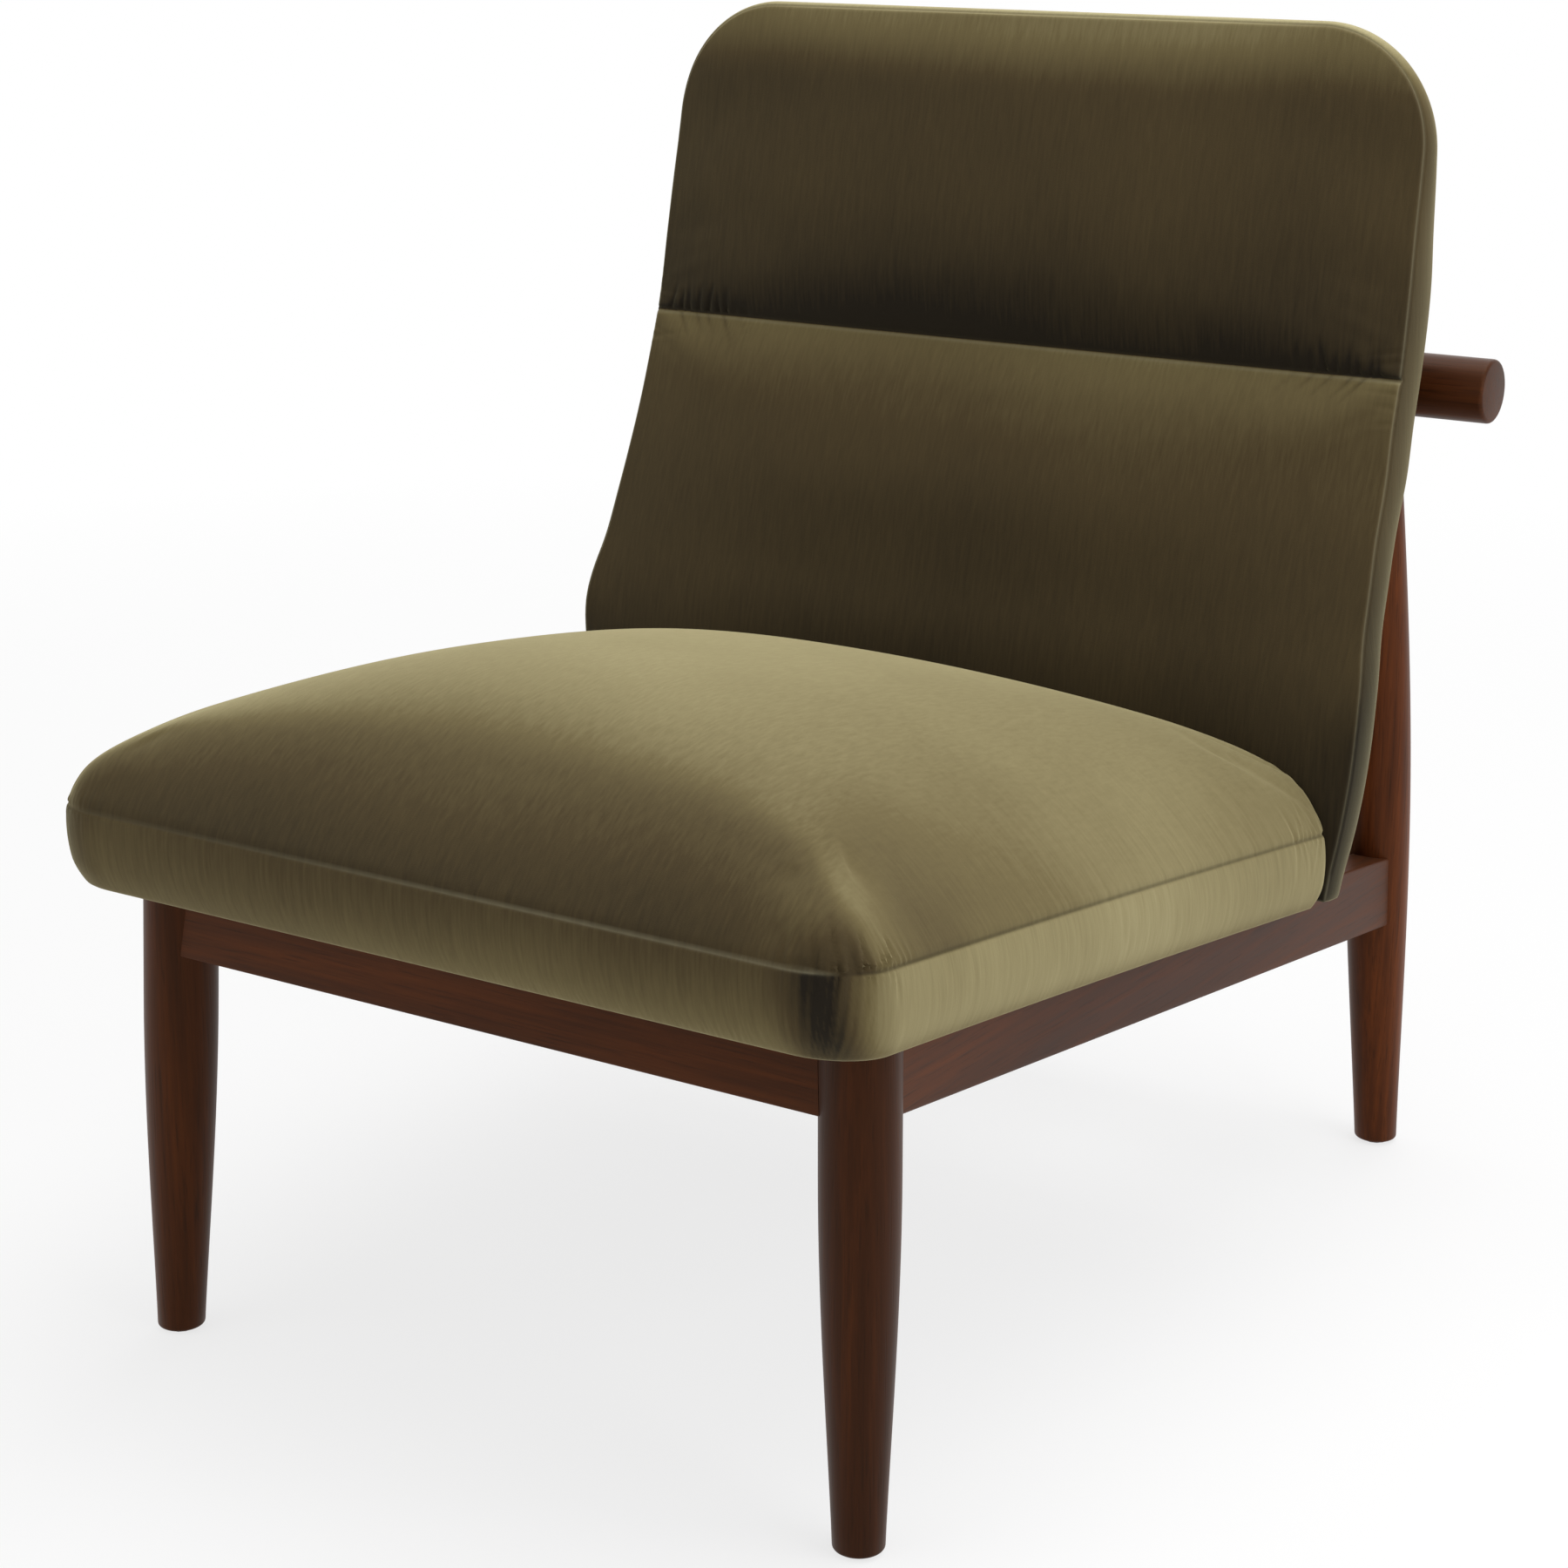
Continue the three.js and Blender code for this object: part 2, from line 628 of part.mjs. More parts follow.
// Legs and posts are trimmed level at the floor, with an eased edge, and mortised for the rails.
const easeRing = [
  [FOOT_RADIUS - FOOT_EASE, glideTop - OVERRUN],
  [FOOT_RADIUS + OVERRUN, glideTop - OVERRUN],
  [FOOT_RADIUS + OVERRUN, glideTop + FOOT_EASE + OVERRUN],
  [FOOT_RADIUS - FOOT_EASE, glideTop],
  [FOOT_RADIUS - FOOT_EASE, glideTop - OVERRUN],
];
const spread = FOOT_SPACING_WIDE + FOOT_SPACING_DEEP;
const aboveSeat = solid(slab(
  -spread, spread,
  -spread, spread,
  0, RAIL_HEIGHT + OVERRUN,
), seatFrame);
const barClearance = solid(rod(
  CROSSBAR_RADIUS + GAP,
  -CROSSBAR_LENGTH / 2 - OVERRUN, CROSSBAR_LENGTH / 2 + OVERRUN,
  TURN_STEPS,
), barFrame);
const postTenonEnd = postLength + POST_TENON_PAST_AXIS;

function postTenon(axis, grow) {
  const tenon = rod(POST_TENON_RADIUS + grow, POST_SWELL_HEIGHT, postTenonEnd + grow);
  return solid(tenon, legFrame(axis));
}

for (const [name, axis] of Object.entries(legAxes)) {
  const atFoot = along(axis.foot, new THREE.Vector3(0, 0, 1));
  const mortises = Object.entries(railEnds)
    .filter(([, ends]) => ends.includes(name))
    .map(([railName]) => railTenon(railName, GAP));
  const underFoot = slab(
    -LEG_RADIUS - OVERRUN, LEG_RADIUS + OVERRUN,
    -LEG_RADIUS - OVERRUN, LEG_RADIUS + OVERRUN,
    -LEG_RADIUS - OVERRUN, glideTop,
  );
  const stemHole = rod(GLIDE_STEM_RADIUS + GAP, 0, GLIDE_THICK + GLIDE_STEM_LENGTH + GAP);
  let leg = cut(legSolids[name], [
    ...mortises,
    solid(underFoot, atFoot),
    solid(stemHole, atFoot),
    solid(turned(easeRing), atFoot),
  ]);
  if (name.startsWith('front')) {
    leg = leg.subtract(aboveSeat);
    add(name.replace('front', 'front_leg'), geometryOf(leg), WOOD);
  } else {
    leg = leg.subtract(barClearance).add(postTenon(axis, 0));
    add(name.replace('rear', 'rear_post'), geometryOf(leg), WOOD);
  }
}

// Corner blocks are triangles glued into the corners, cut to the leg and both rails.
const railOrder = Object.keys(railEnds);
const corners = { front_left: [0, 3], front_right: [0, 1], rear_right: [2, 1], rear_left: [2, 3] };
for (const [name, pair] of Object.entries(corners)) {
  const heel = crossing(legAxes[name], -RAIL_HEIGHT / 2);
  const towardsX = -Math.sign(heel.x);
  const towardsY = name.startsWith('front') ? 1 : -1;
  const triangle = new THREE.Shape([
    new THREE.Vector2(heel.x, heel.y),
    new THREE.Vector2(heel.x + towardsX * CORNER_BLOCK_REACH, heel.y),
    new THREE.Vector2(heel.x, heel.y + towardsY * CORNER_BLOCK_REACH),
  ]);
  const block = new THREE.ExtrudeGeometry(triangle, {
    depth: CORNER_BLOCK_HEIGHT,
    bevelEnabled: false,
  }).translate(0, 0, blockBottom);
  const neighbours = pair.map((k) => railBody(railOrder[k], GAP));
  const fitted = cut(solid(block, seatFrame), [
    ...neighbours, legClearances[name], ...worldScrewHoles,
  ]);
  add(`corner_block_${name}`, geometryOf(fitted), BOARD_WOOD);
}

// The crossbar rests on the posts' tenons, and two bolts hold the back to it through saddles.
const boltPlaces = Object.values(sides).map((sign) => (
  midRailPlace.clone().setX(sign * SADDLE_OFFSET)
));
const headSeat = GAP + SADDLE_LENGTH + CROSSBAR_RADIUS - BOLT_HEAD_SINK;
const boltTip = -midRailThick + NUT_FLANGE_THICK;

function onBolt(geometry, place) {
  return solid(geometry, along(place, midRear));
}

const boltHoles = boltPlaces.map((place) => onBolt(
  rod(BOLT_RADIUS + GAP, -midRailThick - OVERRUN, headSeat),
  place,
));
const headHoles = boltPlaces.map((place) => onBolt(
  rod(BOLT_HEAD_RADIUS + 2 * GAP, headSeat - GAP, headSeat + BOLT_HEAD_SINK + OVERRUN),
  place,
));
const barrelHoles = boltPlaces.map((place) => onBolt(
  rod(NUT_BARREL_RADIUS + GAP, -midRailThick - OVERRUN, NUT_BARREL_LENGTH - midRailThick),
  place,
));

const flangeTop = -midRailThick - GAP;
const flangeHoles = boltPlaces.map((place) => onBolt(
  rod(NUT_FLANGE_RADIUS + GAP, flangeTop - NUT_FLANGE_THICK - GAP, flangeTop + GAP),
  place,
));

const barEnd = CROSSBAR_LENGTH / 2;
const bar = solid(turned([
  [0, -barEnd],
  [CROSSBAR_RADIUS - CROSSBAR_EASE, -barEnd],
  [CROSSBAR_RADIUS, -barEnd + CROSSBAR_EASE],
  [CROSSBAR_RADIUS, barEnd - CROSSBAR_EASE],
  [CROSSBAR_RADIUS - CROSSBAR_EASE, barEnd],
  [0, barEnd],
]), barFrame);
const postMortises = [legAxes.rear_left, legAxes.rear_right].map((axis) => postTenon(axis, GAP));
add('crossbar', geometryOf(cut(bar, [...postMortises, ...boltHoles, ...headHoles])), WOOD);

Object.keys(sides).forEach((side, i) => {
  const place = boltPlaces[i];
  const block = solid(slab(
    -SADDLE_WIDE / 2, SADDLE_WIDE / 2,
    -SADDLE_HEIGHT / 2, SADDLE_HEIGHT / 2,
    GAP, GAP + SADDLE_LENGTH,
  ), frameOf(place, new THREE.Vector3(-1, 0, 0), midUp, midRear));
  add(`back_saddle_${side}`, geometryOf(cut(block, [barClearance, boltHoles[i]])), WOOD);

  add(`back_bolt_${side}`, geometryOf(onBolt(turned([
    [0, boltTip],
    [BOLT_RADIUS, boltTip],
    [BOLT_RADIUS, headSeat],
    [BOLT_HEAD_RADIUS, headSeat],
    [BOLT_HEAD_RADIUS, headSeat + BOLT_HEAD_THICK / 2],
    [BOLT_RADIUS, headSeat + BOLT_HEAD_THICK],
    [0, headSeat + BOLT_HEAD_THICK],
  ], SMALL_TURN_STEPS), place)), STEEL);

  add(`back_nut_${side}`, geometryOf(onBolt(turned([
    [BOLT_RADIUS + GAP, flangeTop - NUT_FLANGE_THICK],
    [NUT_FLANGE_RADIUS, flangeTop - NUT_FLANGE_THICK],
    [NUT_FLANGE_RADIUS, flangeTop],
    [NUT_BARREL_RADIUS, flangeTop],
    [NUT_BARREL_RADIUS, flangeTop + NUT_BARREL_LENGTH],
    [BOLT_RADIUS + GAP, flangeTop + NUT_BARREL_LENGTH],
    [BOLT_RADIUS + GAP, flangeTop - NUT_FLANGE_THICK],
  ], SMALL_TURN_STEPS), place)), STEEL);
});

// The seat's crowned face, in the seat frame. Its border is the top seam. It runs on behind the
// back's front seam, where the cushion is trimmed to the back.
const SEAT_COLUMNS = 20;
const SEAT_CORNER_ROWS = 4;
const SEAT_MIDDLE_ROWS = 12;
const CROWN_PEAK_SHARE = 0.36;
const CROWN_SQUARENESS = 10;
const CROWN_FLATNESS = 2.3;
const CROWN_ROUNDNESS = 1.59;
const BOXING_SWELL_SHARE = 0.55;
const BOXING_TUCK_SHARE = 0.12;
const crownRear = BACK_FOOT_DEPTH + SEAT_CROWN_PAST_BACK;

function seatHalf(depth, inset) {
  const flare = SEAT_FLARE * Math.max(depth / BACK_FOOT_DEPTH, 0) ** 2;
  const draw = cornerDraw(depth + SEAT_FRONT - inset, SEAT_CORNER_RADIUS);
  return SEAT_HALF_WIDE + flare - draw - inset;
}

function seatCrown(acrossShare, alongShare) {
  const away = alongShare < CROWN_PEAK_SHARE
    ? (CROWN_PEAK_SHARE - alongShare) / CROWN_PEAK_SHARE
    : (alongShare - CROWN_PEAK_SHARE) / (1 - CROWN_PEAK_SHARE);
  const outwards = Math.hypot(
    Math.abs(acrossShare) ** (CROWN_SQUARENESS / 2),
    away ** (CROWN_SQUARENESS / 2),
  ) ** (2 / CROWN_SQUARENESS);
  return SEAT_CROWN * Math.max(1 - outwards ** CROWN_FLATNESS, 0) ** (1 / CROWN_ROUNDNESS);
}

const columnShare = (c, columns) => Math.sin((Math.PI / 2) * ((2 * c) / columns - 1));

function seatFace(inset) {
  const front = -SEAT_FRONT + inset;
  const rear = crownRear - inset;
  const depths = [];
  for (let k = 0; k < SEAT_CORNER_ROWS; k += 1) {
    const turn = (Math.PI / 2) * (k / SEAT_CORNER_ROWS);
    depths.push(front + SEAT_CORNER_RADIUS * (1 - Math.cos(turn)));
  }
  const straight = front + SEAT_CORNER_RADIUS;
  for (let k = 0; k <= SEAT_MIDDLE_ROWS; k += 1) {
    depths.push(straight + ((rear - straight) * k) / SEAT_MIDDLE_ROWS);
  }
  return depths.map((depth) => {
    const row = [];
    for (let c = 0; c <= SEAT_COLUMNS; c += 1) {
      const share = columnShare(c, SEAT_COLUMNS);
      const crown = seatCrown(share, (depth - front) / (rear - front));
      row.push(new THREE.Vector3(
        share * seatHalf(depth, inset),
        depth,
        SEAT_SEAM_HEIGHT - inset + crown,
      ));
    }
    return row;
  });
}

// A loop of the boxing below the seam, at a share of its height. The front leans back to the hem.
function boxingLoop(border, bottom, heightShare, outwards) {
  return border.map((point) => {
    const ahead = Math.max(0, 1 - (point.y + SEAT_FRONT) / SEAT_CORNER_RADIUS);
    return new THREE.Vector3(
      point.x + Math.sign(point.x) * outwards,
      point.y + ahead * (SEAT_HEM_SET_BACK * (1 - heightShare) - outwards),
      bottom + (point.z - bottom) * heightShare,
    );
  });
}

function seatPad(inset, bottom) {
  const face = seatFace(inset);
  const border = borderOf(face);
  const loops = [
    boxingLoop(border, bottom, BOXING_SWELL_SHARE, SEAT_BOXING_SWELL),
    boxingLoop(border, bottom, BOXING_TUCK_SHARE, 0),
    boxingLoop(border, bottom, 0, -SEAT_HEM_PULL),
  ];
  const middle = new THREE.Vector3(0, (crownRear - SEAT_FRONT) / 2, bottom);
  return solid(padded(face, loops, middle));
}

// Seat deck boards, with the side boards between the front and the rear one. The rear board and
// the cushion end where the back's front seam comes down, and this profile trims them.
const deckHalf = SEAT_HALF_WIDE - SEAT_FOAM_EDGE;
const deckFront = -SEAT_FRONT + SEAT_HEM_SET_BACK + SEAT_FOAM_EDGE;
const deckRear = backFootRun - COVER_THICK - 2 * GAP;
const acrossFrame = frameOf(
  new THREE.Vector3(-FOOT_SPACING_WIDE, 0, 0),
  new THREE.Vector3(0, 1, 0),
  new THREE.Vector3(0, 0, 1),
  new THREE.Vector3(1, 0, 0),
);

function behindSeam(clearance) {
  const outline = [];
  const rearEdge = crownRear + BACK_RAKE + BACK_BAND;
  const bottom = backFoot - BOARD_THICK;
  const top = backFoot + SEAT_SEAM_HEIGHT + 2 * SEAT_CROWN;
  outline.push(new THREE.Vector2(rearEdge, top), new THREE.Vector2(rearEdge, bottom));
  for (const height of rowsBetween(bottom, top)) {
    outline.push(new THREE.Vector2(seamDepth(height) - clearance, height));
  }
  const trim = new THREE.ExtrudeGeometry(new THREE.Shape(outline.reverse()), {
    depth: 2 * FOOT_SPACING_WIDE,
    bevelEnabled: false,
  });
  return solid(trim, worldToSeat.clone().multiply(acrossFrame));
}

const behindDeck = behindSeam(COVER_THICK + 2 * GAP);

// A plate with the outline of the cushion's hem, drawn in by an inset.
function hemPlate(inset, bottom, top) {
  const hem = boxingLoop(borderOf(seatFace(inset)), 0, 0, 0);
  const outline = new THREE.Shape(hem.map((point) => new THREE.Vector2(point.x, point.y)));
  return solid(new THREE.ExtrudeGeometry(outline, {
    depth: top - bottom,
    bevelEnabled: false,
  }).translate(0, 0, bottom));
}

const sideBoards = [
  deckFront + BOARD_WIDE + GAP,
  deckRear - BOARD_WIDE - GAP,
];
const boards = {
  seat_board_front: [-deckHalf, deckHalf, deckFront, deckFront + BOARD_WIDE],
  seat_board_rear: [-deckHalf, deckHalf, deckRear - BOARD_WIDE, deckRear],
  seat_board_left: [-deckHalf, -deckHalf + BOARD_WIDE, ...sideBoards],
  seat_board_right: [deckHalf - BOARD_WIDE, deckHalf, ...sideBoards],
};
const deckPlate = hemPlate(SEAT_FOAM_EDGE, GAP, boardTop);
for (const [name, [x0, x1, y0, y1]] of Object.entries(boards)) {
  const board = solid(slab(x0, x1, y0, y1, boardBottom, boardTop)).intersect(deckPlate);
  addToSeat(name, geometryOf(cut(board, [...seatScrewHoles, behindDeck])), BOARD_WOOD);
}
const dustCover = solid(slab(
  -deckHalf, deckHalf,
  deckFront, deckRear,
  GAP, GAP + DUST_COVER_THICK,
));
const dustCoverCut = cut(dustCover.intersect(deckPlate), [...seatScrewHoles, behindDeck]);
addToSeat('seat_dust_cover', geometryOf(dustCoverCut), DUST_CLOTH);

// Sinuous springs: a flat wave of wire, arched up, with both ends held down by a batten.
const springStart = deckFront + BOARD_WIDE - SPRING_HOLD;
const springEnd = deckRear - BOARD_WIDE + SPRING_HOLD;
const springRun = springEnd - springStart;
const springWaves = Math.round(springRun / SPRING_PITCH);
const springBed = boardTop + GAP + SPRING_WIRE_RADIUS;
const SPRING_STEPS_PER_WAVE = 8;
const SPRING_SIDES = 5;

class SpringLine extends THREE.Curve {
  constructor(x) {
    super();
    this.x = x;
  }

  getPoint(share, target = new THREE.Vector3()) {
    const turn = 2 * Math.PI * springWaves * share;
    return target.set(
      this.x + (SPRING_WIDE / 2) * Math.cos(turn),
      springStart + springRun * share,
      springBed + SPRING_ARCH * Math.sin(Math.PI * share) ** 2,
    );
  }
}

const wireCircle = new THREE.EllipseCurve(0, 0, SPRING_WIRE_RADIUS, SPRING_WIRE_RADIUS);
const wireSection = new THREE.Shape(wireCircle.getPoints(SPRING_SIDES).slice(0, SPRING_SIDES));
for (let k = 0; k < SPRING_COUNT; k += 1) {
  const wire = new THREE.ExtrudeGeometry(wireSection, {
    steps: springWaves * SPRING_STEPS_PER_WAVE,
    extrudePath: new SpringLine((k - (SPRING_COUNT - 1) / 2) * SPRING_SPACING),
  });
  addToSeat(`seat_spring_${k + 1}`, wire, STEEL);
}

// Each batten is an angle: its foot stands on the board beside the wire ends, its lip over them.
const battenHalf = ((SPRING_COUNT - 1) * SPRING_SPACING + SPRING_WIDE) / 2 + BATTEN_WIDE;
const lipBottom = springBed + SPRING_WIRE_RADIUS + 2 * GAP;
const lipTop = lipBottom + BATTEN_THICK;
const battens = { front: [springStart, 1], rear: [springEnd, -1] };
for (const [name, [end, towards]] of Object.entries(battens)) {
  const [heel, inner, toe] = [-BATTEN_WIDE, -2 * GAP, BATTEN_WIDE].map((run) => end + towards * run);
  const foot = solid(slab(
    -battenHalf, battenHalf,
    Math.min(heel, inner), Math.max(heel, inner),
    boardTop + GAP, lipTop,
  ));
  const lip = solid(slab(
    -battenHalf, battenHalf,
    Math.min(heel, toe), Math.max(heel, toe),
    lipBottom, lipTop,
  ));
  addToSeat(`spring_batten_${name}`, geometryOf(foot.add(lip)), BOARD_WOOD);
}

// The cover closes round the sides and the back edge, and is turned under outside the rails.
const standHalf = GAP + Math.max(
  frontCrossing.x + LEG_RADIUS + GAP,
  rearCrossing.x + RAIL_FACE_OFFSET,
);
const standFront = frontCrossing.y - LEG_RADIUS - 2 * GAP;
const overStand = solid(slab(
  -standHalf, standHalf,
  standFront, backFootRun + BACK_BAND,
  -RAIL_HEIGHT, GAP,
));
const seatShell = seatPad(0, -SEAT_HEM_SAG).subtract(behindSeam(GAP));
const seatHollow = seatPad(COVER_THICK, -SEAT_HEM_SAG + COVER_THICK)
  .subtract(behindSeam(GAP + COVER_THICK));
addToSeat('seat_cover', geometryOf(cut(seatShell, [seatHollow, overStand])), VELVET);

const overDeck = solid(slab(
  -deckHalf - GAP, deckHalf + GAP,
  deckFront - GAP, backFootRun + BACK_BAND,
  -RAIL_HEIGHT, boardTop + GAP,
)).intersect(hemPlate(SEAT_FOAM_EDGE - GAP, -RAIL_HEIGHT, boardTop + GAP));
const overSprings = solid(slab(
  -battenHalf - GAP, battenHalf + GAP,
  springStart - BATTEN_WIDE - GAP, springEnd + BATTEN_WIDE + GAP,
  boardBottom, lipTop + GAP,
));
const foamInset = COVER_THICK + GAP;
const seatFoam = cut(seatPad(foamInset, -SEAT_HEM_SAG + foamInset), [
  behindSeam(GAP + foamInset), overDeck, overSprings,
]);
addToSeat('seat_foam', geometryOf(seatFoam), FOAM);

// The back's padded face: rows up its height, with a crown, and the sewn channel pulled in.
const BACK_COLUMNS = 12;
const CROWN_START_SHARE = 0.24;
const CROWN_FULL_SHARE = 0.46;
const FACE_SQUARENESS = 3.2;
const FACE_ROUNDNESS = 1.6;

function bulge(across, height, crown) {
  const rise = (height - backFoot) / backTall;
  const top = Math.max(1 - Math.max(2 * rise - 1, 0) ** (2 * FACE_SQUARENESS), 0);
  const wide = Math.max(1 - Math.abs(across) ** FACE_SQUARENESS, 0);
  return crown * (top * wide) ** (1 / FACE_ROUNDNESS);
}

function faceCrown(across, height) {
  const rise = (height - backFoot) / backTall;
  const away = Math.abs(height - channelMiddle) / (BACK_CHANNEL_WIDE / 2);
  const dip = BACK_CHANNEL_DEPTH * Math.max(1 - away, 0) ** 2;
  return bulge(across, height, BACK_CROWN - dip)
    * THREE.MathUtils.smoothstep(rise, CROWN_START_SHARE, CROWN_FULL_SHARE);
}

// A piece of the back between two surfaces, each given by its depth at a share across and height.
function backPad(from, to, inset, frontAt, rearAt) {
  const grids = [frontAt, rearAt].map((depthAt) => rowsBetween(from, to).map((height) => {
    const row = [];
    for (let c = 0; c <= BACK_COLUMNS; c += 1) {
      const share = columnShare(c, BACK_COLUMNS);
      row.push(new THREE.Vector3(
        share * backHalf(height, inset),
        seamDepth(height) + depthAt(share, height),
        height,
      ));
    }
    return row;
  }));
  return solid(padded(grids[0], [], grids[1]));
}

function belowSeatPlane(clearance) {
  const half = FOOT_SPACING_WIDE;
  return solid(slab(-half, half, 0, 2 * BACK_FOOT_DEPTH, -RAIL_HEIGHT, clearance), seatFrame);
}

const backBottom = backFoot - BACK_BAND / 2;
const footScrewHoles = Object.values(sides).map((sign) => {
  const place = footScrewPlace(sign).applyMatrix4(seatFrame);
  return solid(screwHole(footScrewLength), along(place, seatUp));
});
const wholeBack = backPad(
  backBottom, BACK_TOP_HEIGHT, 0,
  (across, height) => -faceCrown(across, height),
  (across, height) => bandAt(height),
);
const backHollow = backPad(
  backBottom, BACK_TOP_HEIGHT - COVER_THICK, COVER_THICK,
  (across, height) => COVER_THICK - faceCrown(across, height),
  (across, height) => bandAt(height) + OVERRUN,
);
const backCover = wholeBack
  .subtract(belowSeatPlane(GAP))
  .subtract(backHollow.subtract(belowSeatPlane(GAP + COVER_THICK)));
add('back_cover', geometryOf(cut(backCover, footScrewHoles)), VELVET);

// Foam pads above and below the channel, in front of the frame and its straps.
const belowInside = belowSeatPlane(GAP + foamInset);
const foamRear = FRAME_SET_BACK - STRAP_THICK - 3 * GAP;
const pads = {
  back_foam_lower: [backBottom, channelMiddle - GAP],
  back_foam_upper: [channelMiddle + GAP, BACK_TOP_HEIGHT - foamInset],
};
for (const [name, [from, to]] of Object.entries(pads)) {
  const pad = backPad(
    from, to, foamInset,
    (across, height) => foamInset - faceCrown(across, height),
    () => foamRear,
  );
  add(name, geometryOf(cut(pad, [belowInside, ...flangeHoles])), FOAM);
}

// A frame member through a list of heights: its sides, front and rear are each given at a height.
function member(heights, leftAt, rightAt, frontAt, rearAt) {
  const front = [];
  const rear = [];
  for (const height of heights) {
    const [left, right] = [leftAt(height), rightAt(height)];
    front.push([left, right].map((x) => new THREE.Vector3(x, frontAt(height), height)));
    rear.push([left, right].map((x) => new THREE.Vector3(x, rearAt(height), height)));
  }
  return solid(padded(front, [], rear));
}

const topRailTop = BACK_TOP_HEIGHT - TOP_RAIL_BELOW_TOP;
const topRailFoot = topRailTop - TOP_RAIL_HEIGHT;
const frameHalf = (height) => backHalf(height, foamInset + FRAME_SIDE_CLEARANCE);
const betweenStiles = (height) => frameHalf(height) - STILE_WIDE - GAP;
const stileRows = rowsBetween(backBottom, topRailFoot - GAP);
for (const [side, sign] of Object.entries(sides)) {
  const edges = sign < 0
    ? [(height) => -frameHalf(height), (height) => STILE_WIDE - frameHalf(height)]
    : [(height) => frameHalf(height) - STILE_WIDE, frameHalf];
  const stile = member(stileRows, ...edges, frameFront, frameRear);
  add(`back_stile_${side}`, geometryOf(stile.subtract(belowInside)), BOARD_WOOD);
}

const topRail = member(
  rowsBetween(topRailFoot, topRailTop),
  (height) => -frameHalf(height), frameHalf, frameFront, frameRear,
);
add('back_top_rail', geometryOf(topRail), BOARD_WOOD);

const footRail = member(
  rowsBetween(backBottom, backFoot + FOOT_RAIL_HEIGHT),
  (height) => -betweenStiles(height), betweenStiles, frameFront, frameRear,
);
add('back_foot_rail', geometryOf(cut(footRail, [belowInside, ...footScrewHoles])), BOARD_WOOD);

const midRail = member(
  [midRailFoot, midRailTop],
  (height) => -betweenStiles(height), betweenStiles, frameFront, frameRear,
);
add('back_mid_rail', geometryOf(cut(midRail, [...boltHoles, ...barrelHoles])), BOARD_WOOD);

// Webbing straps cross the stiles, spaced evenly below the middle rail, and one above it.
const strapShares = Array.from({ length: STRAP_COUNT }, (_, k) => (k + 1) / (STRAP_COUNT + 1));
const strapFront = (height) => frameFront(height) - GAP - STRAP_THICK;
const strapRear = (height) => frameFront(height) - GAP;
const strapMiddles = [
  ...strapShares.map((share) => backFoot + (midRailFoot - backFoot) * share),
  (midRailTop + topRailFoot) / 2,
];
strapMiddles.forEach((middle, k) => {
  const strap = member(
    rowsBetween(middle - STRAP_WIDE / 2, middle + STRAP_WIDE / 2),
    (height) => -frameHalf(height), frameHalf, strapFront, strapRear,
  );
  add(`back_strap_${k + 1}`, geometryOf(strap), WEBBING);
});

// The outside back: a padded panel within the cover's rear edge, cut out for the saddles.
const rearPanel = backPad(
  backBottom, BACK_TOP_HEIGHT - foamInset, foamInset,
  (across, height) => bandAt(height) - REAR_PANEL_THICK,
  (across, height) => bandAt(height) + bulge(across, height, BACK_REAR_CROWN),
);
const saddleHoles = boltPlaces.map((place) => solid(slab(
  -SADDLE_WIDE / 2 - GAP, SADDLE_WIDE / 2 + GAP,
  -SADDLE_HEIGHT / 2 - GAP, SADDLE_HEIGHT / 2 + GAP,
  -BACK_BAND / 2, SADDLE_LENGTH,
), frameOf(place, new THREE.Vector3(-1, 0, 0), midUp, midRear)));
const panelCut = cut(rearPanel, [belowInside, ...saddleHoles]);
add('back_rear_panel', geometryOf(panelCut), VELVET);

// The chair is centred over its origin by its own outline.
const outline = new THREE.Box3().setFromObject(chair, true);
const middle = outline.getCenter(new THREE.Vector3());
chair.position.set(-middle.x, -middle.y, -outline.min.z);
const slipperChair = new THREE.Group();
slipperChair.add(chair);

export default slipperChair;
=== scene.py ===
import math

import bpy
import numpy as np
from mathutils import Matrix, Vector, kdtree


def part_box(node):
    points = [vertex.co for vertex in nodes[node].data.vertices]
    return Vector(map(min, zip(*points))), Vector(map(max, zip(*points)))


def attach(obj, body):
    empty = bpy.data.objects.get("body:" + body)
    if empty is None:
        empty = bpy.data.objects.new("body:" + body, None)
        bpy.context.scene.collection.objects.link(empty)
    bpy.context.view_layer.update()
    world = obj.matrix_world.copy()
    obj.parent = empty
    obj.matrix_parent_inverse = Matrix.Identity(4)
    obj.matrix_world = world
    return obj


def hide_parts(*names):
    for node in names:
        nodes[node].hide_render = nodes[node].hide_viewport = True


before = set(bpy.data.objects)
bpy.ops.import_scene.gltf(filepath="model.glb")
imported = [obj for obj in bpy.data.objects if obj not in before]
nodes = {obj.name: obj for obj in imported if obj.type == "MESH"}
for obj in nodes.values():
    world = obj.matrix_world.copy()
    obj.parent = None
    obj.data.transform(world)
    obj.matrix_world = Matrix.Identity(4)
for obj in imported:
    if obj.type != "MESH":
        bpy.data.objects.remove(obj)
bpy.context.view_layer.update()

# The view and the studio. The photograph looks down a little on the chair from its front right,
# against plain white. A large soft lamp hangs over the seat, with weaker ones round it.
CAMERA_DOWN = 16.54
CAMERA_ROUND = 33.46

scene = bpy.context.scene
scene.view_settings.view_transform = "Standard"
camera_data = bpy.data.cameras.new("camera")
camera_data.lens = 74.84
camera_data.sensor_width = 36
camera = bpy.data.objects.new("camera", camera_data)
scene.collection.objects.link(camera)
camera.location = (1.19696, -1.83033, 0.99511)
camera.rotation_euler = (math.radians(90 - CAMERA_DOWN), 0, math.radians(CAMERA_ROUND))
scene.camera = camera

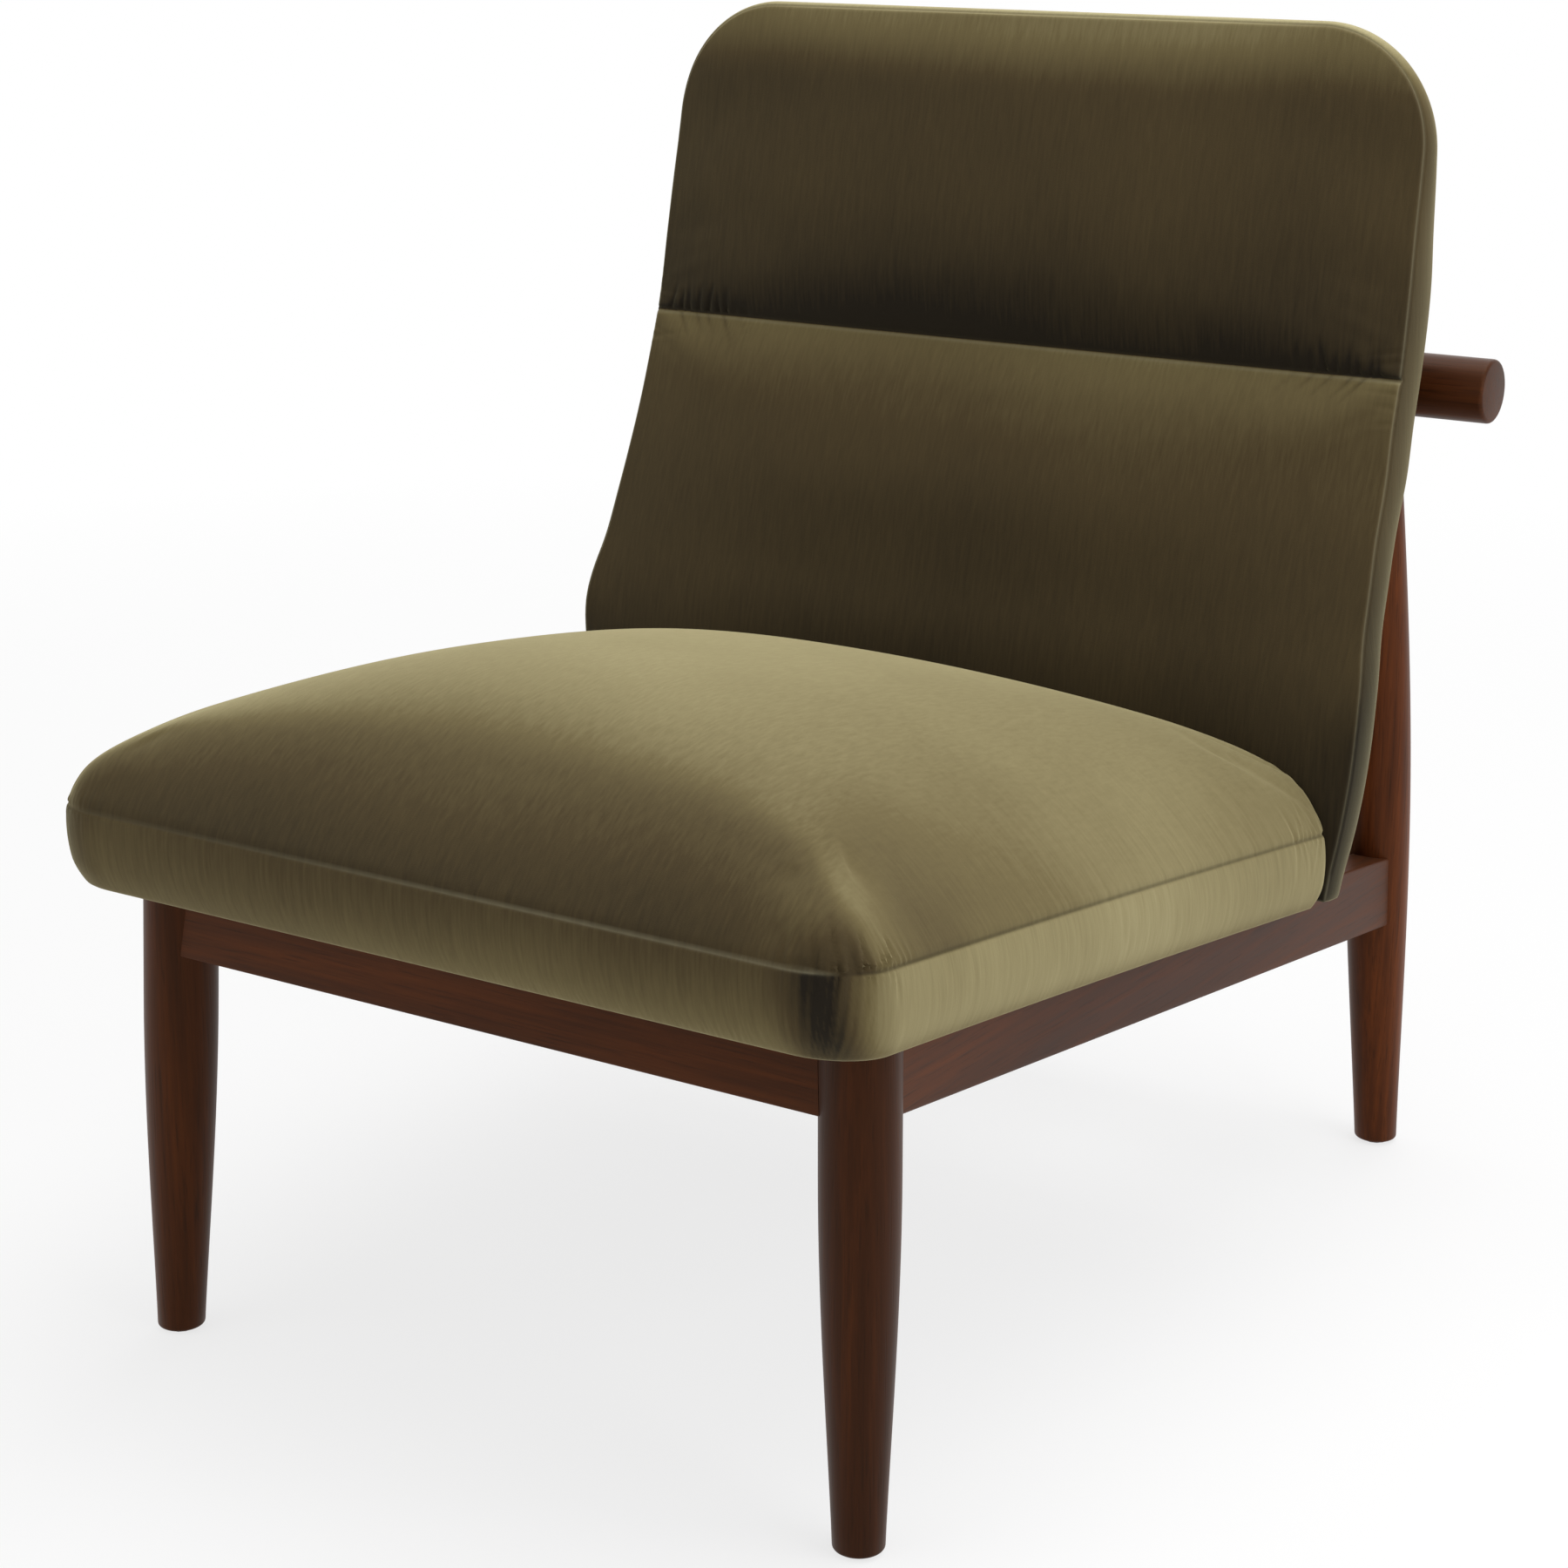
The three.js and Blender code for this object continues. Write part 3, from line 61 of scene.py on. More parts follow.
for name, place, aim, size, watts in (
    ("lamp_over", (0.36, 0.35, 2.7), (0, -0.1, 0.4), 2.2, 46),
    ("lamp_right", (2.6, -0.2, 1.3), (0.1, 0, 0.4), 1.8, 26),
    ("lamp_front", (-1.6, -2.8, 1.5), (0, 0, 0.4), 2.4, 16),
    ("lamp_rear", (-0.6, 3.0, 1.6), (0, 0, 0.5), 2.2, 14),
):
    soft_box = bpy.data.lights.new(name, "AREA")
    soft_box.size = size
    soft_box.energy = watts
    lamp = bpy.data.objects.new(name, soft_box)
    scene.collection.objects.link(lamp)
    lamp.location = place
    lamp.rotation_euler = (Vector(aim) - Vector(place)).to_track_quat("-Z", "Y").to_euler()


def plug(slot, value):
    """Links a node's slot to a socket, or sets the slot's own value."""
    if isinstance(value, Socket):
        value.graph.tree.links.new(value.out, slot)
    else:
        slot.default_value = value


def maths(operation, swapped=False):
    """What an operator between a socket and another value does: it adds a Math node."""
    def apply(socket, other):
        first, second = (other, socket) if swapped else (socket, other)
        return socket.graph.node("ShaderNodeMath", {"operation": operation}, _0=first, _1=second)
    return apply


class Socket:
    """An output of a node, which sums, differences, products and quotients can be made of."""

    __add__ = __radd__ = maths("ADD")
    __mul__ = __rmul__ = maths("MULTIPLY")
    __sub__, __rsub__ = maths("SUBTRACT"), maths("SUBTRACT", swapped=True)
    __truediv__, __rtruediv__ = maths("DIVIDE"), maths("DIVIDE", swapped=True)

    def __init__(self, graph, out):
        self.graph = graph
        self.out = out

    def held(self):
        """The same value, held between 0 and 1."""
        settings = {"operation": "ADD", "use_clamp": True}
        return self.graph.node("ShaderNodeMath", settings, _0=self, _1=0.0)


class Graph:
    """The nodes of a material or of the world."""

    def __init__(self, owner):
        owner.use_nodes = True
        self.tree = owner.node_tree

    def node(self, kind, settings=None, out=0, **inputs):
        """Adds a node. Inputs are named, with _ for a space, or numbered as _6."""
        made = self.tree.nodes.new(kind)
        for key, value in (settings or {}).items():
            if key == "stops":
                ramp = made.color_ramp
                while len(ramp.elements) < len(value):
                    ramp.elements.new(1)
                for element, (place, colour) in zip(ramp.elements, value):
                    element.position = place
                    element.color = (*colour, 1)
            else:
                setattr(made, key, value)
        for key, value in inputs.items():
            number = key[1:]
            plug(made.inputs[int(number) if number.isdigit() else key.replace("_", " ")], value)
        return Socket(self, made.outputs[out])

    def seen_directly(self):
        """1 where a surface is seen by the camera, in a reflection or through glass."""
        kinds = ("Is Camera Ray", "Is Glossy Ray", "Is Transmission Ray")
        return sum(self.node("ShaderNodeLightPath", out=kind) for kind in kinds).held()


class Finish(Graph):
    """A material in the making, with its Principled shader."""

    def __init__(self, name):
        self.material = bpy.data.materials.new(name)
        super().__init__(self.material)
        self.shader = self.tree.nodes["Principled BSDF"]

    def place(self, scale=(1, 1, 1), shift=(0, 0, 0)):
        """The point's place on the object, in metres, times a scale."""
        spot = self.node("ShaderNodeTexCoord", out="Object")
        return self.node("ShaderNodeMapping", Vector=spot, Scale=scale, Location=shift)

    def noise(self, place, scale, detail=3.0, roughness=0.5):
        return self.node(
            "ShaderNodeTexNoise", Vector=place, Scale=scale, Detail=detail, Roughness=roughness,
        )

    def mix(self, share, first, second):
        """Two colours mixed by a share."""
        return self.node(
            "ShaderNodeMix", {"data_type": "RGBA"}, out=2, _0=share, _6=first, _7=second,
        )

    def bump(self, height, distance, strength=1.0):
        return self.node("ShaderNodeBump", Height=height, Distance=distance, Strength=strength)

    def set(self, **inputs):
        """Sets the Principled shader's sockets."""
        for key, value in inputs.items():
            plug(self.shader.inputs[key.replace("_", " ")], value)
        return self.material


def colour(red, green, blue):
    """A colour written in display values from 0 to 255, as linear light."""
    shares = [value / 255 for value in (red, green, blue)]
    return (*(s / 12.92 if s <= 0.04045 else ((s + 0.055) / 1.055) ** 2.4 for s in shares), 1)


FLOOR_HALF = 40
FLOOR_GLOW_NEAR = 0.75
FLOOR_GLOW_START = 0.7
FLOOR_GLOW_RUN = 2.2
WORLD_LIGHT = 0.42
WHITE = (1, 1, 1, 1)
bpy.ops.mesh.primitive_plane_add(size=2 * FLOOR_HALF)
floor = bpy.context.object
floor.name = "floor"
paper = Finish("floor_paper")
paper.tree.nodes.remove(paper.shader)
grain = paper.noise(paper.place(), 3.0)
tone = paper.mix(grain, colour(243, 243, 243), colour(247, 247, 247))
lit = paper.node("ShaderNodeBsdfDiffuse", Color=tone)
glow = paper.node("ShaderNodeEmission", Color=WHITE, Strength=1.0)
reach = paper.node("ShaderNodeVectorMath", {"operation": "LENGTH"}, out=1, _0=paper.place())
away = ((reach - FLOOR_GLOW_START) / FLOOR_GLOW_RUN).held()
share = paper.seen_directly() * (away * (1 - FLOOR_GLOW_NEAR) + FLOOR_GLOW_NEAR)
cover = paper.node("ShaderNodeMixShader", _0=share, _1=lit, _2=glow)
plug(paper.tree.nodes["Material Output"].inputs["Surface"], cover)
floor.data.materials.append(paper.material)

world = bpy.data.worlds.new("studio")
scene.world = world
sky = Graph(world)
background = sky.tree.nodes["Background"].inputs
plug(background["Color"], WHITE)
plug(background["Strength"], sky.seen_directly() * (1 - WORLD_LIGHT) + WORLD_LIGHT)

# The stand's turned legs and posts: hardwood, turned with a long swell and a taper to the foot,
# stained dark walnut and lacquered satin. The rear posts run on up to the crossbar.
FOOT_RADIUS = 0.016
LEG_RADIUS = 0.0247
POST_TOP_RADIUS = 0.013
LEG_SWELL = 0.24
POST_SWELL = 0.3
SWELL_POWER = 1.15
FALL_POWER = 0.93
SWELL_RINGS = 14
FALL_RINGS = 14
ROUND_SIDES = 64
FOOT_EASE = 0.0024
FOOT_LEVEL = 0.0023
OVERRUN = 0.006
GAP = 0.0003
FRONT_LEAN_IN = math.radians(1.7)
FRONT_LEAN_BACK = math.radians(2.4)
REAR_LEAN_IN = math.radians(1.35)
SEAT_PLANE = 0.3285
SEAT_SLOPE = math.radians(6.86)
SMOOTH_BELOW = math.radians(35)
# The posts' and legs' stains are set lighter by their own amounts, the posts most: painted light
# for how brightly each is lit.
POST_LIT_TONE, LEG_TONE = 1.45, 1.06
GRAIN_FINE, GRAIN_FINE_ALONG = 90.0, 3.2
GRAIN_BROAD, GRAIN_BROAD_ALONG = 14.0, 1.1
PORES_FINER = 3.4
STAIN_STOPS = ((0.28, (26, 11, 5)), (0.46, (47, 22, 9)), (0.6, (67, 33, 13)), (0.74, (90, 48, 21)))


def middle_of(node):
    low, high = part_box(node)
    return (low + high) / 2


def clear():
    bpy.ops.object.select_all(action="DESELECT")


def only(piece):
    clear()
    piece.select_set(True)
    bpy.context.view_layer.objects.active = piece


def edit():
    """Opens the active piece's mesh, with all of it selected."""
    bpy.ops.object.mode_set(mode="EDIT")
    bpy.ops.mesh.select_all(action="SELECT")


def done():
    bpy.ops.object.mode_set(mode="OBJECT")


def settle(piece, matrix=None):
    """Moves the piece by a matrix and puts its place into its mesh."""
    only(piece)
    if matrix is not None:
        piece.matrix_world = matrix @ piece.matrix_world
    bpy.ops.object.transform_apply(location=True, rotation=True, scale=True)


def finished(piece, smooth=SMOOTH_BELOW):
    """Welds the mesh, turns its faces outwards and rounds the shading."""
    only(piece)
    edit()
    bpy.ops.mesh.remove_doubles(threshold=1e-6)
    bpy.ops.mesh.normals_make_consistent(inside=False)
    done()
    bpy.ops.object.shade_smooth_by_angle(angle=smooth)


def turned(name, rings, sides=ROUND_SIDES):
    """A shape turned about +Z, through [radius, height] rings, with flat ends."""
    clear()
    (radius, height), *rest = rings
    bpy.ops.mesh.primitive_circle_add(
        vertices=sides, radius=radius, fill_type="NGON", location=(0, 0, height),
    )
    piece = bpy.context.object
    piece.name = name
    bpy.ops.object.transform_apply(location=True)
    edit()
    for next_radius, next_height in rest:
        bpy.ops.mesh.extrude_region_move(
            TRANSFORM_OT_translate={"value": (0, 0, next_height - height)},
        )
        share = next_radius / radius
        bpy.ops.transform.resize(value=(share, share, 1), center_override=(0, 0, next_height))
        radius, height = next_radius, next_height
    done()
    return piece


def bitten(piece, cutter):
    """Cuts one closed piece by another, and drops the cutter."""
    bite = piece.modifiers.new("bite", "BOOLEAN")
    bite.operation = "DIFFERENCE"
    bite.solver = "EXACT"
    bite.object = cutter
    only(piece)
    bpy.ops.object.modifier_apply(modifier=bite.name)
    bpy.data.objects.remove(cutter)


def trimmed(piece, point, normal, ease=0.0):
    """Cuts the piece flat, drops what lies ahead of the cut, and eases the new edge."""
    only(piece)
    edit()
    bpy.ops.mesh.bisect(plane_co=point, plane_no=normal, use_fill=True, clear_outer=True)
    if ease:
        bpy.ops.mesh.bevel(offset=ease, segments=4, affect="EDGES")
    done()


def dressed(piece, material, slot_name, *stood_for):
    """Gives a new piece its finish, its body and the nodes that it stands for."""
    piece.data.materials.clear()
    piece.data.materials.append(material)
    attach(piece, "root")
    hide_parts(*stood_for)


def stained_wood(name, along, seed, tone=1.0):
    """Dark walnut stain over straight grain that runs along X, Y or Z, under a satin lacquer."""
    wood = Finish(name)
    fine, broad = [GRAIN_FINE] * 3, [GRAIN_BROAD] * 3
    fine[along], broad[along] = GRAIN_FINE_ALONG, GRAIN_BROAD_ALONG
    shift = (seed * 1.7, seed * 0.9, seed * 2.3)
    bands = wood.noise(wood.place(broad, shift), 1.0, 4.0, 0.55)
    lines = wood.noise(wood.place(fine, shift), 2.0, 6.0, 0.65)
    pores = wood.noise(wood.place([v * PORES_FINER for v in fine], shift), 2.2, 2.0, 0.5)
    body = wood.node("ShaderNodeValToRGB", {"stops": tuple(
        (place, colour(*(v * tone for v in shade))[:3]) for place, shade in STAIN_STOPS
    )}, Fac=(bands * 0.62 + lines * 0.38).held())
    dark_pores = ((pores - 0.56) * 7.0).held() * 0.45
    relief = wood.bump(lines * 0.6 - dark_pores * 0.7, 0.0003, 0.35)
    return wood.set(
        Base_Color=wood.mix(dark_pores, body, colour(24, 11, 6)),
        Roughness=lines * 0.16 + 0.36, Normal=relief,
        Coat_Weight=0.012, Coat_Roughness=0.2, Specular_IOR_Level=0.17,
        Specular_Tint=(1.0, 0.62, 0.4, 1),
        Sheen_Weight=0.05, Sheen_Roughness=0.45, Sheen_Tint=(0.85, 0.5, 0.3, 1),
    )


def leg_rings(length, is_post, grow):
    """Rings from under the foot over a long swell, and on a post over a long taper to its top."""
    top = POST_SWELL if is_post else LEG_SWELL
    rings = [(FOOT_RADIUS + grow, -OVERRUN)]
    for k in range(SWELL_RINGS + 1):
        height = top * k / SWELL_RINGS
        share = math.sin(math.pi / 2 * min(height / top, 1) ** SWELL_POWER)
        rings.append((FOOT_RADIUS + (LEG_RADIUS - FOOT_RADIUS) * share + grow, height))
    if not is_post:
        return [*rings, (LEG_RADIUS + grow, length)]
    for k in range(1, FALL_RINGS + 1):
        share = math.cos(math.pi / 2 * (k / FALL_RINGS) ** FALL_POWER)
        radius = POST_TOP_RADIUS + (LEG_RADIUS - POST_TOP_RADIUS) * share + grow
        rings.append((radius, POST_SWELL + (length - POST_SWELL) * k / FALL_RINGS))
    return rings


bar_middle = middle_of("crossbar")
front_foot_y = middle_of("glide_front_right").y
seat_frame = Matrix.Translation((0, front_foot_y, SEAT_PLANE))
seat_frame @= Matrix.Rotation(-SEAT_SLOPE, 4, "X")
seat_up = (seat_frame.to_3x3() @ Vector((0, 0, 1))).normalized()
leg_axes = {}
for side, sign in {"left": -1, "right": 1}.items():
    foot = middle_of(f"glide_front_{side}")
    lean = Vector((-sign * math.tan(FRONT_LEAN_IN), math.tan(FRONT_LEAN_BACK), 1))
    leg_axes[f"front_leg_{side}"] = (Vector((foot.x, foot.y, 0)), lean)
    foot = middle_of(f"glide_rear_{side}")
    lean = Vector((-sign * math.tan(REAR_LEAN_IN), (bar_middle.y - foot.y) / bar_middle.z, 1))
    leg_axes[f"rear_post_{side}"] = (Vector((foot.x, foot.y, 0)), lean)


def leg_solid(name, leg, grow=0.0):
    """A whole leg or post on its leaning axis, or a wider one to cut a cope with."""
    foot, lean = leg_axes[leg]
    is_post = "post" in leg
    length = lean.length * (bar_middle.z if is_post else SEAT_PLANE + OVERRUN)
    piece = turned(name, leg_rings(length, is_post, grow))
    turn = Vector((0, 0, 1)).rotation_difference(lean).to_matrix().to_4x4()
    settle(piece, Matrix.Translation(foot) @ turn)
    return piece


CROSSBAR_RADIUS = 0.023
CROSSBAR_HALF = 0.348
BAR_EASE = 0.0028
BAR_EASE_RINGS = 4


def bar_solid(name, grow=0.0):
    """The whole crossbar with its eased ends, or a wider one to cut a cope with."""
    radius, half = CROSSBAR_RADIUS + grow, CROSSBAR_HALF + grow
    rings = []
    for k in range(BAR_EASE_RINGS + 1):
        turn = math.pi / 2 * k / BAR_EASE_RINGS
        inset = BAR_EASE * (1 - math.sin(turn))
        rings.append((radius - inset, -half + BAR_EASE * (1 - math.cos(turn))))
    rings += [(ring_radius, -run) for ring_radius, run in reversed(rings)]
    piece = turned(name, rings)
    settle(piece, Matrix.Translation(bar_middle) @ Matrix.Rotation(math.pi / 2, 4, "Y"))
    return piece


for number, leg in enumerate(leg_axes):
    piece = leg_solid(f"turned_{leg}", leg)
    trimmed(piece, (0, 0, FOOT_LEVEL), (0, 0, -1), FOOT_EASE)
    if "post" in leg:
        bitten(piece, bar_solid("cutter", GAP))
    else:
        trimmed(piece, seat_frame.translation, seat_up)
    finished(piece)
    wood = stained_wood(f"{leg}_wood", 2, number + 1, POST_LIT_TONE if "post" in leg else LEG_TONE)
    dressed(piece, wood, "stained_wood", leg)

# The crossbar: a round hardwood rail behind the back, wider than the chair, with eased ends. Two
# bolts pass through it from behind, with their heads sunk in counterbores.
BACK_LEAN = math.radians(15.048)
BOLT_OFFSET = 0.15
BOLT_RADIUS = 0.004
HEAD_RADIUS = 0.007
HEAD_ROOM = 0.0006
HEAD_SINK = 0.007
HOLE_SIDES = 32
rearwards = Vector((0, math.cos(BACK_LEAN), -math.sin(BACK_LEAN)))
upwards = Vector((0, math.sin(BACK_LEAN), math.cos(BACK_LEAN)))
bolt_turn = Vector((0, 0, 1)).rotation_difference(rearwards).to_matrix().to_4x4()


def bolt_place(sign, run):
    """A place on a bolt's axis, at a run behind the crossbar's own axis."""
    return bar_middle + Vector((sign * BOLT_OFFSET, 0, 0)) + rearwards * run


def bored(piece, sign, radius, start, end):
    """Bores a hole along a bolt's axis, from one run to another."""
    hole = turned("cutter", [(radius, start), (radius, end)], HOLE_SIDES)
    settle(hole, Matrix.Translation(bolt_place(sign, 0)) @ bolt_turn)
    bitten(piece, hole)


bar = bar_solid("round_crossbar")
head_seat = CROSSBAR_RADIUS - HEAD_SINK
for sign in (-1, 1):
    bored(bar, sign, HEAD_RADIUS + HEAD_ROOM, head_seat, CROSSBAR_RADIUS + OVERRUN)
    bored(bar, sign, BOLT_RADIUS + GAP, -CROSSBAR_RADIUS - OVERRUN, CROSSBAR_RADIUS)
finished(bar)
dressed(bar, stained_wood("crossbar_wood", 0, 7), "stained_wood", "crossbar")

# The rails: flat-sided hardwood, coped to the round legs, with their edges eased. Their tops lie
# in one plane that falls to the rear. Their stain is set lighter, as painted light for how
# brightly their faces are lit.
RAIL_TALL = 0.0535
RAIL_THICK = 0.028
RAIL_FACE_OFFSET = 0.0165
RAIL_EASE = 0.0016
RAIL_LIT_TONE = 1.2


def crossing(leg, height):
    """Where a leg's axis crosses a height above the rail tops' plane, in that plane's frame."""
    foot, lean = leg_axes[leg]
    start = seat_frame.inverted() @ foot
    step = seat_frame.inverted() @ (foot + lean) - start
    return start + step * ((height - start.z) / step.z)


def beam(name, place, size, middle, ease=RAIL_EASE):
    """A straight length of wood with eased edges, about a middle in a frame."""
    clear()
    bpy.ops.mesh.primitive_cube_add(size=1)
    piece = bpy.context.object
    piece.name = name
    piece.scale = size
    piece.location = middle
    settle(piece)
    settle(piece, place)
    if ease:
        only(piece)
        edit()
        bpy.ops.mesh.bevel(offset=ease, segments=3, affect="EDGES")
        done()
    return piece


rail_ends = {
    "front_rail": ("front_leg_left", "front_leg_right"),
    "side_rail_right": ("front_leg_right", "rear_post_right"),
    "rear_rail": ("rear_post_right", "rear_post_left"),
    "side_rail_left": ("rear_post_left", "front_leg_left"),
}
for number, (rail, ends) in enumerate(rail_ends.items()):
    start, end = (crossing(leg, -RAIL_TALL / 2) for leg in ends)
    start.z = end.z = 0
    run = (end - start).normalized()
    inward = Vector((0, 0, 1)).cross(run)
    turn = Matrix((run, inward, (0, 0, 1))).transposed().to_4x4()
    length = (end - start).length
    piece = beam(
        f"eased_{rail}", seat_frame @ Matrix.Translation(start) @ turn,
        (length, RAIL_THICK, RAIL_TALL),
        (length / 2, RAIL_THICK / 2 - RAIL_FACE_OFFSET, -RAIL_TALL / 2),
    )
    for leg in ends:
        bitten(piece, leg_solid("cutter", leg, GAP))
    finished(piece)
    wood = stained_wood(f"{rail}_wood", 1 if "side" in rail else 0, number + 11, RAIL_LIT_TONE)
    dressed(piece, wood, "stained_wood", rail)

# The saddles: two short hardwood blocks that stand off the back's middle rail, coped to the
# crossbar, each with a bolt through it. The bolts are zinc-plated steel with a hex socket.
SADDLE_LONG = 0.065
SADDLE_WIDE = 0.048
SADDLE_TALL = 0.038
SADDLE_EASE = 0.0014
HEAD_THICK = 0.0045
HEX_RADIUS = 0.0032
HEX_DEPTH = 0.0026
TIP_EASE = 0.0008
HEAD_EASE = 0.0005
BOLT_SIDES = 36
HEAD_DOME = ((1, 0.45), (0.93, 0.75), (0.75, 0.95), (0.6, 1))
bolt_low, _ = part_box("back_bolt_left")
bolt_tip = (bolt_low.y - bar_middle.y + BOLT_RADIUS * math.sin(BACK_LEAN)) / math.cos(BACK_LEAN)


def metal(name, tint, rough):
    """Bright metal with fine turning marks and a little dulling."""
    steel = Finish(name)
    marks = steel.noise(steel.place((900, 900, 900)), 1.0, 2.0)
    dull = steel.noise(steel.place((60, 60, 60)), 1.0, 3.0)
    shade = steel.mix(dull, tint, tuple(v * 0.82 for v in tint[:3]) + (1,))
    return steel.set(
        Base_Color=shade, Metallic=1.0, Roughness=dull * 0.15 + rough,
        Normal=steel.bump(marks, 0.00004, 0.3),
    )


zinc = metal("zinc_plate", (0.62, 0.63, 0.64, 1), 0.26)
back_turn = Matrix(((-1, 0, 0), tuple(upwards), tuple(rearwards))).transposed().to_4x4()


def copied(piece, name, shift):
    """The same piece again, with a mesh of its own, moved along."""
    again = piece.copy()
    again.data = piece.data.copy()
    again.name = name
    scene.collection.objects.link(again)
    settle(again, Matrix.Translation(shift))
    return again


saddle = beam(
    "coped_saddle_right", Matrix.Translation(bolt_place(1, -SADDLE_LONG)) @ back_turn,
    (SADDLE_WIDE, SADDLE_TALL, SADDLE_LONG),
    (0, 0, SADDLE_LONG / 2),
    SADDLE_EASE,
)
bitten(saddle, bar_solid("cutter", GAP))
bored(saddle, 1, BOLT_RADIUS + GAP, -SADDLE_LONG - OVERRUN, 0)
finished(saddle)
bolt = turned("socket_bolt_right", [
    (BOLT_RADIUS - TIP_EASE, bolt_tip - head_seat),
    (BOLT_RADIUS, bolt_tip - head_seat + TIP_EASE),
    (BOLT_RADIUS, 0),
    (HEAD_RADIUS - HEAD_EASE, 0),
    (HEAD_RADIUS, HEAD_EASE),
    *((HEAD_RADIUS * wide, HEAD_THICK * tall) for wide, tall in HEAD_DOME),
], BOLT_SIDES)
hexagon = turned("cutter", [(HEX_RADIUS, HEAD_THICK - HEX_DEPTH), (HEX_RADIUS, HEAD_THICK * 2)], 6)
bitten(bolt, hexagon)
settle(bolt, Matrix.Translation(bolt_place(1, head_seat)) @ bolt_turn)
finished(bolt)
apart = (-2 * BOLT_OFFSET, 0, 0)
blocks = {"right": saddle, "left": copied(saddle, "coped_saddle_left", apart)}
bolts = {"right": bolt, "left": copied(bolt, "socket_bolt_left", apart)}
for number, side in enumerate(blocks):
    wood = stained_wood(f"saddle_{side}_wood", 1, number + 20)
    dressed(blocks[side], wood, "stained_wood", f"back_saddle_{side}")
    dressed(bolts[side], zinc, "steel", f"back_bolt_{side}")

# The seat cushion: foam with a high crown, in a velvet cover. A crowned top panel and a side boxing
# are joined by one seam all round, gathered at the corners. The cover is turned under and stapled
# to the deck, and it keeps just ahead of the back, whose leaning front seam is drawn up here.
SEAT_FRONT = -0.075
SEAT_HALF = 0.308
SEAT_FLARE = 0.0095
SEAT_LONG = 0.545
SEAT_REAR = 0.5428
SEAT_CORNER = 0.045
SEAT_REAR_CORNER = 0.013
CROWN = 0.119
CROWN_PEAK = 0.36
CROWN_RUN = 0.687
CROWN_FALL = 2.3
CROWN_ROUND = 1.59
CORNER_KEEN = 2.6
CORNER_FULL = 0.25
SLACK = 0.004
SLACK_OVER = 0.02
SEAM_UP = 0.051
HEM_UP = -0.003
HEM_SET_BACK = 0.015
HEM_LEAN_RUN = 0.4
HEM_PULL = 0.004
HEM_PULL_FROM = 0.75
BOXING_SWELL = 0.004
BOXING_ROUND = 0.7
BOXING_DROPS = np.array([0.9, 2.2, 4.4, 8, 13, 19, 25.5, 32, 38, 43.5, 48, 51.5, 54]) / 54
TURNED_UNDER = ((0.008, -0.0005), (0.0165, 0.0022), (0.0171, 0.0233))
REAR_TUCK = 0.0004
UNDERSIDE_UP = 0.0235
UNDERSIDE_SHARE = (0.93, 0.95)
UNDERSIDE_SHIFT = 0.02
BACK_FOOT_Y = 0.545
BACK_RAKE = 0.124
BACK_BAND = 0.037
BACK_HALF = 0.312
BACK_FOOT_Z = 0.262934
BACK_TALL = 0.593066
BACK_TOP = 0.856
BACK_CORNER = 0.084
FINE_STEPS_MM = (0.9, 1.1, 1.6, 2.2, 2.8, *[3.0] * 18, 3.6, 4.4, 5.6, 7.2, 9.0)
COARSE_STEP = 0.011
CORNER_FADE = 1.6
# Up the back, as shares: height, how far it leans back, half its width and the depth of its band.
back_rows = np.array([
    (-0.05, -0.005, 1.008, 0.6), (0, 0, 1.013, 0.65), (0.09, 0.008, 1.042, 0.79),
    (0.16, 0.02, 1.058, 0.81), (0.235, 0.048, 1.063, 0.83), (0.27, 0.108, 1.056, 0.835),
    (0.3, 0.173, 1.045, 0.84), (0.366, 0.298, 1.034, 0.87), (0.422, 0.399, 1.026, 0.92),
    (0.484, 0.516, 1.022, 0.98), (0.545, 0.605, 1.016, 1), (0.611, 0.702, 1.013, 1),
    (0.703, 0.79, 1.01, 0.98), (0.769, 0.847, 1.006, 0.83), (0.826, 0.903, 1.003, 0.69),
    (0.882, 0.948, 1, 0.55), (0.939, 0.976, 1, 0.43), (1, 1, 1, 0.36),
])
random = np.random.default_rng(7)


def curve_at(column):
    """A smooth curve through one column of the back's rows, read at a height."""
    rises, values = back_rows[:, 0], back_rows[:, column]
    slopes = np.gradient(values, rises)

    def read(height):
        rise = np.clip((height - BACK_FOOT_Z) / BACK_TALL, rises[0], rises[-1])
        k = np.clip(np.searchsorted(rises, rise) - 1, 0, len(rises) - 2)
        step = rises[k + 1] - rises[k]
        t = (rise - rises[k]) / step
        return (
            values[k] * (2 * t ** 3 - 3 * t ** 2 + 1) + slopes[k] * step * (t ** 3 - 2 * t ** 2 + t)
            + values[k + 1] * (3 * t ** 2 - 2 * t ** 3) + slopes[k + 1] * step * (t ** 3 - t ** 2)
        )

    return read


rake_share, half_share, band_share = curve_at(1), curve_at(2), curve_at(3)


def seam_depth(height):
    return BACK_FOOT_Y + BACK_RAKE * rake_share(height)


def back_side(height):
    return BACK_HALF * half_share(height)


def eased(value, low, high):
    """0 below one value and 1 above another, with a smooth rise between them."""
    share = np.clip((value - low) / (high - low), 0, 1)
    return share * share * (3 - 2 * share)


def mound(distance, reach):
    """1 at no distance, dying away with it."""
    return np.exp(-(distance / reach) ** 2)


def drawn_in(distance, radius):
    """How far a rounded corner draws its side in, at a distance from its end."""
    near = np.clip(radius - distance, 0, radius)
    return radius - np.sqrt(radius ** 2 - near ** 2)


def spaced(length, dense_start=True):
    """Shares along a length, close together at its ends and wider apart between them."""
    fine = np.cumsum([0, *FINE_STEPS_MM]) / 1000
    start = fine if dense_start else fine[:1]
    end = length - fine[::-1]
    count = max(int((end[0] - start[-1]) / COARSE_STEP), 1)
    between = np.linspace(start[-1], end[0], count + 1)[1:-1]
    return np.concatenate([start, between, end]) / length


